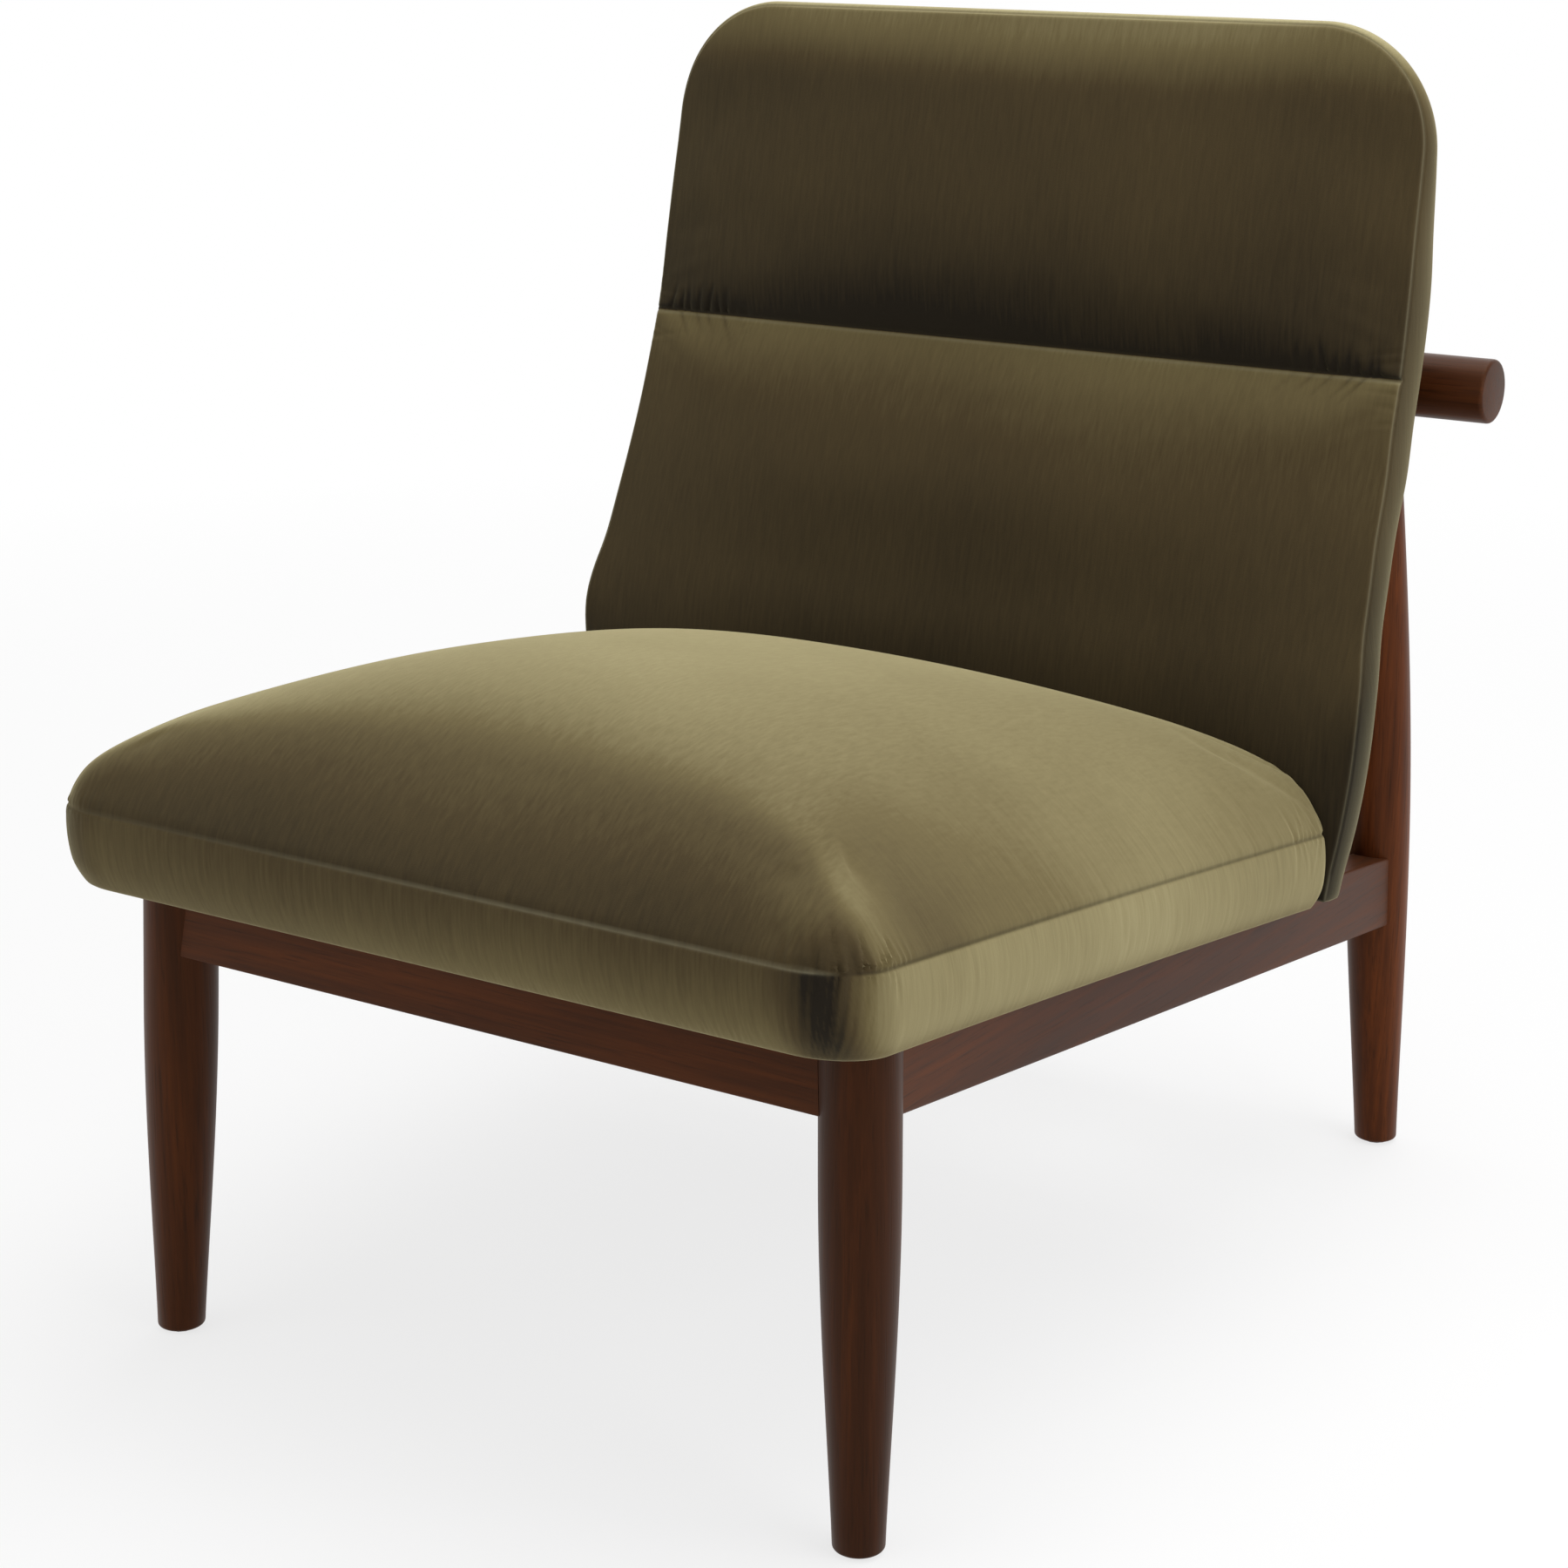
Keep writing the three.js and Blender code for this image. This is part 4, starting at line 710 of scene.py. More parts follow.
def end_row(half, radius, shares):
    """One rounded end, from the middle of a corner to the middle of the other: x and depth."""
    arc = radius * math.pi / 4
    total = 2 * (arc + half - radius)
    run = np.where(shares > 0.5, 1 - shares, shares) * total
    turn = math.pi / 4 + np.minimum(run, arc) / max(radius, 1e-9)
    x = -(half - radius) - radius * np.cos(turn) + np.maximum(run - arc, 0)
    depth = radius * (1 - np.sin(turn))
    return np.where(shares > 0.5, -x, x), depth


def panel(side_at, low, high, low_radius, high_radius, columns, row_places, fades):
    """A grid of (x, run) points over a panel with rounded corners at both ends."""
    middle_share = 1 - math.sin(math.pi / 4)
    low_edge = low + low_radius * middle_share
    high_edge = high - high_radius * middle_share
    runs = low_edge + (high_edge - low_edge) * row_places
    across = 2 * columns - 1

    def half_at(run):
        return side_at(run) - drawn_in(run - low, low_radius) - drawn_in(high - run, high_radius)

    x = across[None, :] * half_at(runs)[:, None]
    run = np.repeat(runs[:, None], len(columns), axis=1)
    for edge, end, radius, sign, fade in (
        (low_edge, low, low_radius, 1, fades[0]), (high_edge, high, high_radius, -1, fades[1]),
    ):
        end_x, depth = end_row(float(side_at(np.array(end))), radius, columns)
        weight = np.clip(1 - np.abs(runs - edge) / fade, 0, 1) ** CORNER_FADE
        x += weight[:, None] * (end_x - across * abs(end_x[0]))[None, :]
        run += sign * weight[:, None] * (depth - depth[0])[None, :]
    return x, run, half_at


def border(grid):
    """The points round a grid, as one closed loop that starts at its first corner."""
    return np.concatenate([grid[0, :-1], grid[:-1, -1], grid[-1, :0:-1], grid[:0:-1, 0]])


def outwards(loop):
    """The directions that point away from a closed flat loop, at each of its points."""
    ahead = np.roll(loop, -1, axis=0) - np.roll(loop, 1, axis=0)
    out = np.stack([ahead[:, 1], -ahead[:, 0]], axis=1)
    return out / np.linalg.norm(out, axis=1)[:, None]


def pad(name, face, loops, base):
    """A closed mesh: a face grid, loops round its border, and a base grid of the same count."""
    index = np.arange(face[..., 0].size).reshape(face.shape[:2])
    sizes = np.cumsum([index.size, *(len(loop) for loop in loops)])
    base_index = sizes[-1] + index
    rings = [
        border(index), *(start + np.arange(len(loop)) for start, loop in zip(sizes, loops)),
        border(base_index),
    ]

    def bridge(last, ring):
        return np.stack([last, ring, np.roll(ring, -1), np.roll(last, -1)], axis=1)

    def sheet(numbers):
        corners = numbers[:-1, :-1], numbers[:-1, 1:], numbers[1:, 1:], numbers[1:, :-1]
        return np.stack([corner.ravel() for corner in corners], axis=1)

    quads = [sheet(index), *map(bridge, rings, rings[1:]), sheet(base_index)[:, [0, 3, 2, 1]]]
    points = [face.reshape(-1, 3), *loops, base.reshape(-1, 3)]
    mesh = bpy.data.meshes.new(name)
    mesh.from_pydata(np.concatenate(points).tolist(), [], np.concatenate(quads).tolist())
    mesh.update()
    piece = bpy.data.objects.new(name, mesh)
    scene.collection.objects.link(piece)
    only(piece)
    edit()
    bpy.ops.mesh.normals_make_consistent(inside=False)
    done()
    return piece


def vectors(items, key):
    values = np.empty(len(items) * 3)
    items.foreach_get(key, values)
    return values.reshape(-1, 3)


def read_points(mesh):
    return vectors(mesh.vertices, "co")


def read_normals(mesh):
    return vectors(mesh.vertex_normals, "vector")


def write_points(mesh, points):
    mesh.vertices.foreach_set("co", points.ravel())
    mesh.update()


FILL_FRAMES = 20
FILLING = {
    "quality": 4, "mass": 0.3, "tension_stiffness": 25, "compression_stiffness": 25,
    "bending_stiffness": 0.8, "use_pressure": True, "uniform_pressure_force": 4,
    "vertex_group_mass": "held",
}


def pinned(piece, shape, start_rows, end_rows, sides, rings=(), still=()):
    """1 for the points that are held while the cover swells: all but the inside of its face and
    what isn't still on some of the rings round it."""
    held = np.ones(len(piece.data.vertices))
    inner = np.zeros(shape)
    inner[:start_rows] = inner[-end_rows:] = 1
    inner[:, :sides] = inner[:, -sides:] = 1
    held[:inner.size] = inner.ravel()
    for number in rings:
        start = inner.size + number * len(still)
        held[start:start + len(still)] = still
    return held


def filled(piece, held, most):
    """Lets the cover swell over its filling as cloth, held at its seams. The swelling stays under
    a most, which may differ from point to point."""
    mesh = piece.data
    before = read_points(mesh)
    group = piece.vertex_groups.new(name="held")
    for number in np.flatnonzero(held > 0):
        group.add([int(number)], float(held[number]), "REPLACE")
    only(piece)
    cloth = piece.modifiers.new("fill", "CLOTH")
    for key, value in FILLING.items():
        setattr(cloth.settings, key, value)
    cloth.settings.effector_weights.gravity = 0
    cloth.collision_settings.use_collision = False
    for number in range(1, FILL_FRAMES + 1):
        scene.frame_set(number)
    bpy.ops.object.modifier_apply(modifier=cloth.name)
    scene.frame_set(1)
    moved = read_points(mesh) - before
    length = np.maximum(np.linalg.norm(moved, axis=1), 1e-9)
    write_points(mesh, before + moved * (most * np.tanh(length / most) / length)[:, None])
    piece.vertex_groups.clear()
    only(piece)
    finer = piece.modifiers.new("finer", "SUBSURF")
    finer.levels = finer.render_levels = 1
    bpy.ops.object.modifier_apply(modifier=finer.name)


def seat_side(run):
    return SEAT_HALF + SEAT_FLARE * (np.maximum(run, 0) / SEAT_LONG) ** 2


def seat_crown(x, run, half):
    """How high the top panel stands over its seam: a soft crown that is fuller at the corners."""
    across = np.clip(np.abs(x) / half, 0, 1)
    along = (run - SEAT_FRONT) / CROWN_RUN
    away = np.abs(along - CROWN_PEAK) / np.where(along < CROWN_PEAK, CROWN_PEAK, 1 - CROWN_PEAK)
    fullness = [
        np.maximum(1 - np.clip(share, 0, 1) ** CROWN_FALL, 1e-9) ** (1 / CROWN_ROUND)
        for share in (across, away)
    ]
    lesser = sum(share ** -CORNER_KEEN for share in fullness) - 1
    fuller = 1 + CORNER_FULL * (1 - fullness[0]) * (1 - fullness[1])
    return CROWN * fuller * lesser ** (-1 / CORNER_KEEN)


seat_turn = np.array(seat_frame.to_3x3())
seat_shift = np.array(seat_frame.translation)


def seat_world(points):
    """Points of the seat frame in the world, kept before the back's front seam."""
    placed = points @ seat_turn.T + seat_shift
    depth = seam_depth(placed[..., 2]) - GAP + front_foot_y
    placed[..., 1] = np.minimum(placed[..., 1], depth)
    return placed


x, run, half_at = panel(
    seat_side, SEAT_FRONT, SEAT_REAR, SEAT_CORNER, SEAT_REAR_CORNER,
    spaced(2 * SEAT_HALF), spaced(SEAT_REAR - SEAT_FRONT), (0.15, 0.06),
)
rise = seat_crown(x, run, half_at(run))
rise = np.maximum(rise - SLACK * np.clip(rise / SLACK_OVER, 0, 1), 0)
face = np.stack([x, run, SEAM_UP + rise], axis=2)
seam = border(face)
out = outwards(seam[:, :2])
rear_side = out[:, 1] > 0.9
loops = []
for drop in BOXING_DROPS:
    ring = seam.copy()
    ring[:, 2] += (HEM_UP - seam[:, 2]) * drop
    pull = HEM_PULL * max(drop - HEM_PULL_FROM, 0) / (1 - HEM_PULL_FROM)
    swollen = BOXING_SWELL * math.sin(math.pi * drop) ** BOXING_ROUND - pull
    ring[:, :2] += out * np.where(rear_side, 0, swollen)[:, None]
    lean = np.clip(1 - (ring[:, 1] - SEAT_FRONT) / HEM_LEAN_RUN, 0, 1)
    ring[:, 1] += HEM_SET_BACK * drop * lean
    loops.append(ring)
hem = loops[-1]
for inset, lift in TURNED_UNDER:
    ring = hem.copy()
    ring[:, :2] -= out * np.where(rear_side, REAR_TUCK, inset)[:, None]
    ring[:, 2] = HEM_UP + lift
    loops.append(ring)
base = np.stack([
    x * UNDERSIDE_SHARE[0], run * UNDERSIDE_SHARE[1] + UNDERSIDE_SHIFT,
    np.full_like(x, HEM_UP + UNDERSIDE_UP),
], axis=2)
seat_pad = pad("seat_cushion", seat_world(face), list(map(seat_world, loops)), seat_world(base))
held = pinned(seat_pad, x.shape, 2, 2, 2, range(2, len(BOXING_DROPS) - 1), rear_side)
NEAR_CORNER = (0.29, SEAT_FRONT + 0.015)
PINCH_UP = 0.02
PINCH_REACH = 0.085
PINCH_SHARE = 0.9
SEAT_MOST = 0.006
pinch = seat_world(np.array([*NEAR_CORNER, SEAM_UP + PINCH_UP]))
away = read_points(seat_pad.data)
away[:, 0] = np.abs(away[:, 0])
tight = mound(np.linalg.norm(away - pinch, axis=1), PINCH_REACH)
filled(seat_pad, held, SEAT_MOST * (1 - PINCH_SHARE * tight))

# The seat's seam and its pleats: a sewn line that sinks into the pile, with short gathers that run
# off it at the corners. Each pleat is a crease with a low ridge along both its sides.
PLEAT_REACH = 0.055
PLEAT_FALL = 1.3
PLEAT_START = 0.0025
RIDGE_SHARE = 0.45
RIDGE_AWAY = 1.7
RIDGE_WIDE = 0.8
SEAM_STEP = 0.001
FRONT_PLEATS_AT = (0.2948, SEAT_FRONT + 0.0132)
REAR_PLEATS_AT = (0.313, SEAT_REAR - 0.03)
PLEATS_LEAN = 0.006
PLEATS_SPREAD = 0.042
RIGHT_DEPTH = 1.15
LEFT_DEPTH = 0.4
BOXING_DEPTH = 0.55
FRONT_PLEATS = {
    "half": 0.062, "step": 0.0048, "stray": 0.0009, "reach": (0.018, 0.05),
    "width": (0.0013, 0.0021), "depth": (0.0012, 0.0026), "slant": 0.25,
}
REAR_PLEATS = {
    "half": 0.024, "step": 0.0075, "stray": 0.001, "reach": (0.02, 0.045),
    "width": (0.0017, 0.0027), "depth": (0.0007, 0.0013), "slant": 0.5,
}
SEAM_DEEP = 0.001
SEAM_WIDE = 0.0015


def along_seam(loop):
    """A closed seam's points at even steps, and how far round it each one is."""
    closed = np.concatenate([loop, loop[:1]])
    lengths = np.concatenate([[0], np.cumsum(np.linalg.norm(np.diff(closed, axis=0), axis=1))])
    places = np.arange(0, lengths[-1], SEAM_STEP)
    return np.stack([np.interp(places, lengths, closed[:, k]) for k in range(3)], axis=1), places


def seam_facts(points, seam_points, seam_places):
    """Each point's distance to the seam, and how far round the seam it is."""
    tree = kdtree.KDTree(len(seam_points))
    for number, point in enumerate(seam_points):
        tree.insert(point, number)
    tree.balance()
    found = [tree.find(point) for point in points]
    return np.array([f[2] for f in found]), seam_places[np.array([f[1] for f in found])]


def nearest_place(spot, seam_points, seam_places):
    return seam_places[np.argmin(np.linalg.norm(seam_points - spot, axis=1))]


def pleats_about(
    middle, half, step, stray, reach, width, depth, slant, strength=lambda spot: 1.0, deep=1.0,
):
    """Pleats on both sides of a place on a seam: (place, reach, width, depth, slant) for each."""
    spots = np.arange(-half, half, step)
    made = []
    for spot in spots + random.normal(0, stray, len(spots)):
        strong = strength(spot)
        made.append((
            middle + spot, random.uniform(*reach) * (0.5 + strong / 2), random.uniform(*width),
            random.uniform(*depth) * strong * deep, random.uniform(-slant, slant),
        ))
    return made


def pleated(points, normals, near, place, inside, pleats):
    """Pushes in short pleats that run off a seam."""
    close = np.flatnonzero(near < PLEAT_REACH)
    away, where = near[close], place[close]
    push = np.zeros(len(close))
    for middle, reach, width, depth, slant in pleats:
        off = (where - middle - slant * away) / width
        fall = np.clip(1 - away / reach, 0, 1) ** PLEAT_FALL * eased(away, 0, PLEAT_START)
        ridge = RIDGE_SHARE * mound(np.abs(off) - RIDGE_AWAY, RIDGE_WIDE)
        push += depth * fall * (ridge - mound(off, 1))
    points[close] += normals[close] * (push * inside[close])[:, None]
    return points


mesh = seat_pad.data
points, normals = read_points(mesh), read_normals(mesh)
seam_points, seam_places = along_seam(seat_world(seam))
near, place = seam_facts(points, seam_points, seam_places)
local = (points - seat_shift) @ seat_turn
pleats = []
for sign in (-1, 1):
    front, rear = (
        nearest_place(seat_world(np.array([sign * x, run, SEAM_UP])), seam_points, seam_places)
        for x, run in (FRONT_PLEATS_AT, REAR_PLEATS_AT)
    )
    pleats += pleats_about(
        front, **FRONT_PLEATS, deep=RIGHT_DEPTH if sign > 0 else LEFT_DEPTH,
        strength=lambda spot: mound(spot - PLEATS_LEAN * sign, PLEATS_SPREAD),
    )
    pleats += pleats_about(rear, **REAR_PLEATS)
off_rear = eased(SEAT_REAR - local[:, 1], 0.001, 0.006)
top_side = np.where(local[:, 2] > SEAM_UP - 0.0002, 1.0, BOXING_DEPTH)
points = pleated(points, normals, near, place, top_side * off_rear, pleats)
points -= normals * (SEAM_DEEP * mound(near, SEAM_WIDE) * off_rear)[:, None]
write_points(mesh, points)

# The seat's velvet. Painted light and shade are kept on the mesh, worked out from how each point
# faces: pale on the flat, dark down the front and darkest at the gathered corners of the boxing.
EVENING_ROUNDS = 90
SIDE_GAIN, SIDE_START = 1.6, 0.5
SOFT_SMOOTH = math.radians(60)


def calmed(mesh, values, rounds):
    """Values of the points, evened out along the mesh's edges."""
    ends = np.empty(len(mesh.edges) * 2, dtype=np.int64)
    mesh.edges.foreach_get("vertices", ends)
    first, second = ends.reshape(-1, 2).T
    count = np.bincount(np.concatenate([first, second]), minlength=len(values))[:, None]
    for _ in range(rounds):
        total = np.stack([
            np.bincount(first, values[second, k], len(values))
            + np.bincount(second, values[first, k], len(values))
            for k in range(values.shape[1])
        ], axis=1)
        values = (values + total / count) / 2
    return values


def mark(mesh, name, values):
    """Keeps a value for each point, for the material."""
    layer = mesh.attributes.new(name, "FLOAT", "POINT")
    layer.data.foreach_set("value", values.astype(np.float32))


def keep_painted_light(mesh, nap, seam_shade_and_highlight):
    """Keeps the painted light and shade, the seams' painted shade and highlights, and how far each
    point faces left or right.
    """
    mark(mesh, "nap", nap)
    mark(mesh, "seam", seam_shade_and_highlight)
    mark(mesh, "side", np.clip(np.abs(read_normals(mesh)[:, 0]) * SIDE_GAIN - SIDE_START, 0, 1))


def velvet(name, seed, streak_share=0.22):
    """Olive cotton velvet: streaks of brushed pile over soft clouds, under a strong soft sheen. Its
    ground colour follows the painted light and shade kept on the mesh, with painted shade and
    highlights along the seams.
    """
    cloth = Finish(name)
    nap, seam_shading, side = (
        cloth.node("ShaderNodeAttribute", {"attribute_name": kept}, out=2)
        for kept in ("nap", "seam", "side")
    )
    shift = (seed * 3.1, seed * 1.3, seed * 0.7)
    clouds = cloth.noise(cloth.place((4, 4, 3), shift), 1.0, 2.0, 0.5)
    streaks = cloth.noise(cloth.place((400, 90, 30), shift), 1.0, 3.0, 0.6)
    side_streaks = cloth.noise(cloth.place((30, 300, 24), shift), 1.0, 3.0, 0.6)
    strand = streaks * (1 - side) + side_streaks * side
    tone = nap * 0.68 + 0.16 + (clouds - 0.5) * 0.3 + (strand - 0.5) * streak_share
    ground = cloth.node("ShaderNodeValToRGB", {"stops": (
        (0.0, (0.009, 0.006, 0.003)),
        (0.3, (0.061, 0.042, 0.017)),
        (0.55, (0.131, 0.102, 0.043)),
        (0.8, (0.255, 0.217, 0.108)),
        (1.0, (0.39, 0.345, 0.19)),
    )}, Fac=tone.held())
    # Painted shade where the seam value is above 0, and a painted highlight where it is below.
    shaded = cloth.mix((seam_shading * 0.6).held(), ground, (0.02, 0.015, 0.008, 1))
    seam_highlit = cloth.mix((seam_shading * -0.5).held(), shaded, (0.34, 0.31, 0.2, 1))
    pile = cloth.noise(cloth.place(), 1400.0, 2.0, 0.6)
    relief = cloth.bump(pile * 0.5 + strand * 0.5, 0.0005, 0.35)
    return cloth.set(
        Base_Color=seam_highlit, Roughness=0.85, Specular_IOR_Level=0.15, Normal=relief,
        Sheen_Weight=0.7, Sheen_Roughness=0.38, Sheen_Tint=(0.64, 0.57, 0.33, 1),
    )


# Painted light and shade from the evened-out normals: pale where the top lies flat, faces left or
# nears the front corner, painted shade down the steep front, on slopes that face right and in the
# hollow by the near corner. The boxing is painted darker on its front, paler towards its foot and
# pale on its right side, as if lit.
smooth = calmed(mesh, read_normals(mesh), EVENING_ROUNDS)
forward, sideways = smooth[:, 1], smooth[:, 0]
toward_front = eased(0.38 - local[:, 1], 0, 0.34)
from_corner = np.linalg.norm(local[:, :2] - np.array(NEAR_CORNER), axis=1)
turn_at = 0.35 - 0.13 * mound(from_corner, 0.17)
flat_pale = 0.58 + 0.34 * np.tanh((forward + turn_at) / 0.17)
steep_dark = 0.19 * eased(-forward, 0.5, 0.85)
left_pale = 0.3 * np.clip(-sideways, 0, 0.4)
right_dark = (0.18 + 0.36 * toward_front) * np.clip(sideways, 0, 0.75)
corner_pale = 0.22 * mound(from_corner, 0.045)
hollow_dark = 0.14 * mound(from_corner - 0.085, 0.045) * eased(sideways, 0.1, 0.4)
top_painted_light = flat_pale - steep_dark + left_pale - right_dark + corner_pale - hollow_dark

on_boxing = eased(SEAM_UP - local[:, 2], -0.001, 0.002) * off_rear
right_side = eased(sideways, 0.35, 0.95)
down = np.clip((SEAM_UP - local[:, 2]) / (SEAM_UP - HEM_UP), 0, 1)
from_left = eased(local[:, 0], -0.25, 0.15)
front_painted_light = 0.25 - 0.05 * from_left + (0.18 + 0.24 * from_left) * down ** 1.3
boxing_painted_light = front_painted_light * (1 - right_side) + (0.86 + 0.08 * down) * right_side

# Painted shade: a dark patch at each front corner of the boxing, where the gathers are, broken up
# at random along the seam.
corner_shade = np.zeros(len(points))
for side, depth in ((-1, 0.5), (1, 1.0)):
    aside, behind = local[:, 0] - side * 0.2915, local[:, 1] - SEAT_FRONT - 0.009
    corner_shade += depth * mound(aside, 0.021) * mound(behind, 0.03)
corner_shade *= (0.03 + 0.97 * on_boxing) * (0.75 + 0.25 * down)
shade_breakup = random.uniform(0.78, 1.22, len(seam_points) // 2 + 1)
corner_shade *= np.interp(place, np.arange(len(shade_breakup)) * 2 * SEAM_STEP, shade_breakup)
nap = top_painted_light * (1 - on_boxing) + boxing_painted_light * on_boxing - 0.85 * corner_shade

# The seam's line: painted shade in its groove, and a painted highlight where it turns to face the
# front.
frontwards = np.clip(-forward * 2, 0, 1) * (1 - right_side)
seam_shade_and_highlight = mound(near, 0.001) * off_rear * (1 - (1.2 + 0.6 * from_left) * frontwards)
keep_painted_light(mesh, nap, seam_shade_and_highlight)
finished(seat_pad, SOFT_SMOOTH)
dressed(seat_pad, velvet("seat_velvet", 1), "velvet", "seat_cover", "seat_foam")

# The back cushion: foam over a curved frame, in a velvet cover. Its face is two panels with a sewn
# channel between them, and a side band joins the face all round by a seam. The cover's rear edge
# is turned in and stapled behind the frame.
CHANNEL_Z = 0.61996
FACE_CROWN = 0.019
FACE_FROM, FACE_FULL = 0.24, 0.46
FACE_SLACK = 0.003
FACE_SLACK_OVER = 0.012
CHANNEL_DIP = 0.0155
CHANNEL_HALF = 0.042
CHANNEL_CREASE = 0.0022
CREASE_HALF = 0.0016
CHANNEL_HELD = 0.0012
SIDE_POWER = 3.2
TOP_POWER = 6.4
ROUND_POWER = 1.6
BAND_PLACES = (0.03, 0.08, 0.16, 0.27, 0.4, 0.54, 0.68, 0.8, 0.89, 0.95, 0.985, 1.0)
BAND_SWELL = 0.0022
BAND_ROUND = 0.6
RIM_PLACES = (1.0, 0.85)
RIM_INSET = 0.0022
RIM_SHARE = 0.98
FOAM_DEPTH = 0.0094
FOAM_SHARE = (0.985, 0.993)
BACK_MOST = 0.005
FOOT_FALL_RUN = 0.05
BACK_LOW = BACK_FOOT_Z + GAP


def face_swell(x, height, half, crown):
    """A soft crown that dies away at the sides and at the top."""
    rise = (height - BACK_FOOT_Z) / BACK_TALL
    across = np.clip(np.abs(x) / half, 0, 1)
    upper = np.maximum(1 - np.maximum(2 * rise - 1, 0) ** TOP_POWER, 0)
    return crown * (upper * np.maximum(1 - across ** SIDE_POWER, 0)) ** (1 / ROUND_POWER)


def back_grid(inset, columns, row_places):
    """A grid of (x, height) points over the back, inside its outline by an inset."""
    return panel(
        lambda height: back_side(height) - inset, BACK_LOW, BACK_TOP - inset,
        0.0, BACK_CORNER - inset, columns, row_places, (0.05, 0.2),
    )


def back_points(x, height, behind):
    """Points at a depth behind the back's front seam."""
    y = seam_depth(height) + behind + front_foot_y
    sunk = np.clip(1 - (height - BACK_LOW) / FOOT_FALL_RUN, 0, 1) * np.maximum(behind, 0)
    return np.stack([x, y, height - sunk * math.tan(SEAT_SLOPE)], axis=-1)


top_edge = BACK_TOP - BACK_CORNER * (1 - math.sin(math.pi / 4))
below = spaced(CHANNEL_Z - BACK_LOW, dense_start=False) * (CHANNEL_Z - BACK_LOW)
over = spaced(top_edge - CHANNEL_Z) * (top_edge - CHANNEL_Z) + CHANNEL_Z - BACK_LOW
row_places = np.concatenate([below, over[1:]]) / (top_edge - BACK_LOW)
x, height, half_at = back_grid(0.0, spaced(2 * BACK_HALF), row_places)
from_line = height - CHANNEL_Z
dip = CHANNEL_DIP * np.maximum(1 - np.abs(from_line) / CHANNEL_HALF, 0) ** 2
ahead = face_swell(x, height, half_at(height), 1.0) * (FACE_CROWN - dip)
ahead *= eased((height - BACK_FOOT_Z) / BACK_TALL, FACE_FROM, FACE_FULL)
ahead = np.maximum(ahead - FACE_SLACK * np.clip(ahead / FACE_SLACK_OVER, 0, 1), 0)
face = back_points(x, height, CHANNEL_CREASE * mound(from_line, CREASE_HALF) - ahead)
seam = border(face)
flat = border(np.stack([x, height], axis=2))
out = outwards(flat)
underside = out[:, 1] < -0.9
band = BACK_BAND * band_share(flat[:, 1])
loops = []
for share in BAND_PLACES:
    swollen = BAND_SWELL * math.sin(math.pi * share) ** BAND_ROUND
    ring = flat + out * np.where(underside, 0, swollen)[:, None]
    loops.append(back_points(*ring.T, band * share))
for share in RIM_PLACES:
    ring = flat - out * np.where(underside, 0, RIM_INSET)[:, None]
    loops.append(back_points(*ring.T, FOAM_DEPTH + (band - FOAM_DEPTH) * share * RIM_SHARE))
base = back_points(
    x * FOAM_SHARE[0], BACK_LOW + (height - BACK_LOW) * FOAM_SHARE[1], FOAM_DEPTH,
)
back_pad = pad("back_cushion", face, loops, base)
held = pinned(back_pad, x.shape, 1, 2, 2, range(2, len(BAND_PLACES) - 2), underside)
held[:x.size][np.abs(from_line).ravel() < CHANNEL_HELD] = 1
filled(back_pad, held, BACK_MOST)

# The back's seams and pleats: the cover is drawn into the channel and sewn through, so it puckers
# above and below the line towards both ends, with a few gathers at the side seams.
CHANNEL_PLEATS = {
    "half": 0.03, "step": 0.0105, "stray": 0.0015, "reach": (0.025, 0.05),
    "width": (0.0016, 0.0026), "depth": (0.0004, 0.0008), "slant": 0.3,
}
PUCKER_START = 0.002
ABOVE_LINE = {
    "spots": (0.232, 0.304, 0.0088), "stray": 0.0012, "reach": (0.016, 0.03),
    "slant": (-0.3, 0.1), "fall": 0.8, "width": 0.0017, "depth": (0.0013, 0.0022),
}
BELOW_LINE = {
    "spots": (0.238, 0.3, 0.014), "stray": 0.002, "reach": (0.014, 0.026),
    "slant": -0.8, "fall": 1, "width": 0.0019, "depth": (0.0011, 0.0017),
}
BACK_SEAM_DEEP = 0.0011
BACK_SEAM_WIDE = 0.0014
BACK_SEAM_LOW = 0.02


def puckers(aside, rise, spots, stray, reach, slant, fall, width, depth):
    """How far short pleats that run off the channel's line push each point in."""
    push = np.zeros(len(aside))
    even = np.arange(*spots)
    for spot in even + random.normal(0, stray, len(even)):
        long = random.uniform(*reach)
        lean = random.uniform(*slant) if isinstance(slant, tuple) else slant
        dies = np.clip(1 - rise / long, 0, 1) ** fall * eased(rise, 0, PUCKER_START)
        push -= random.uniform(*depth) * dies * mound(aside - spot - lean * rise, width)
    return push


mesh = back_pad.data
points, normals = read_points(mesh), read_normals(mesh)
seam_points, seam_places = along_seam(seam)
near, place = seam_facts(points, seam_points, seam_places)
on_face = (normals[:, 1] < -0.3).astype(float)
pleats = []
for sign in (-1, 1):
    edge = back_points(sign * back_side(CHANNEL_Z), CHANNEL_Z, 0.0)
    pleats += pleats_about(nearest_place(edge, seam_points, seam_places), **CHANNEL_PLEATS)
points = pleated(points, normals, near, place, on_face, pleats)
over_line = points[:, 2] - CHANNEL_Z
push = np.zeros(len(points))
for sign in (-1, 1):
    push += puckers(sign * points[:, 0], over_line, **ABOVE_LINE)
    push += puckers(sign * points[:, 0], -over_line, **BELOW_LINE)
points += normals * (push * on_face)[:, None]
groove = BACK_SEAM_DEEP * mound(near, BACK_SEAM_WIDE) * (points[:, 2] > BACK_LOW + BACK_SEAM_LOW)
points -= normals * groove[:, None]
write_points(mesh, points)
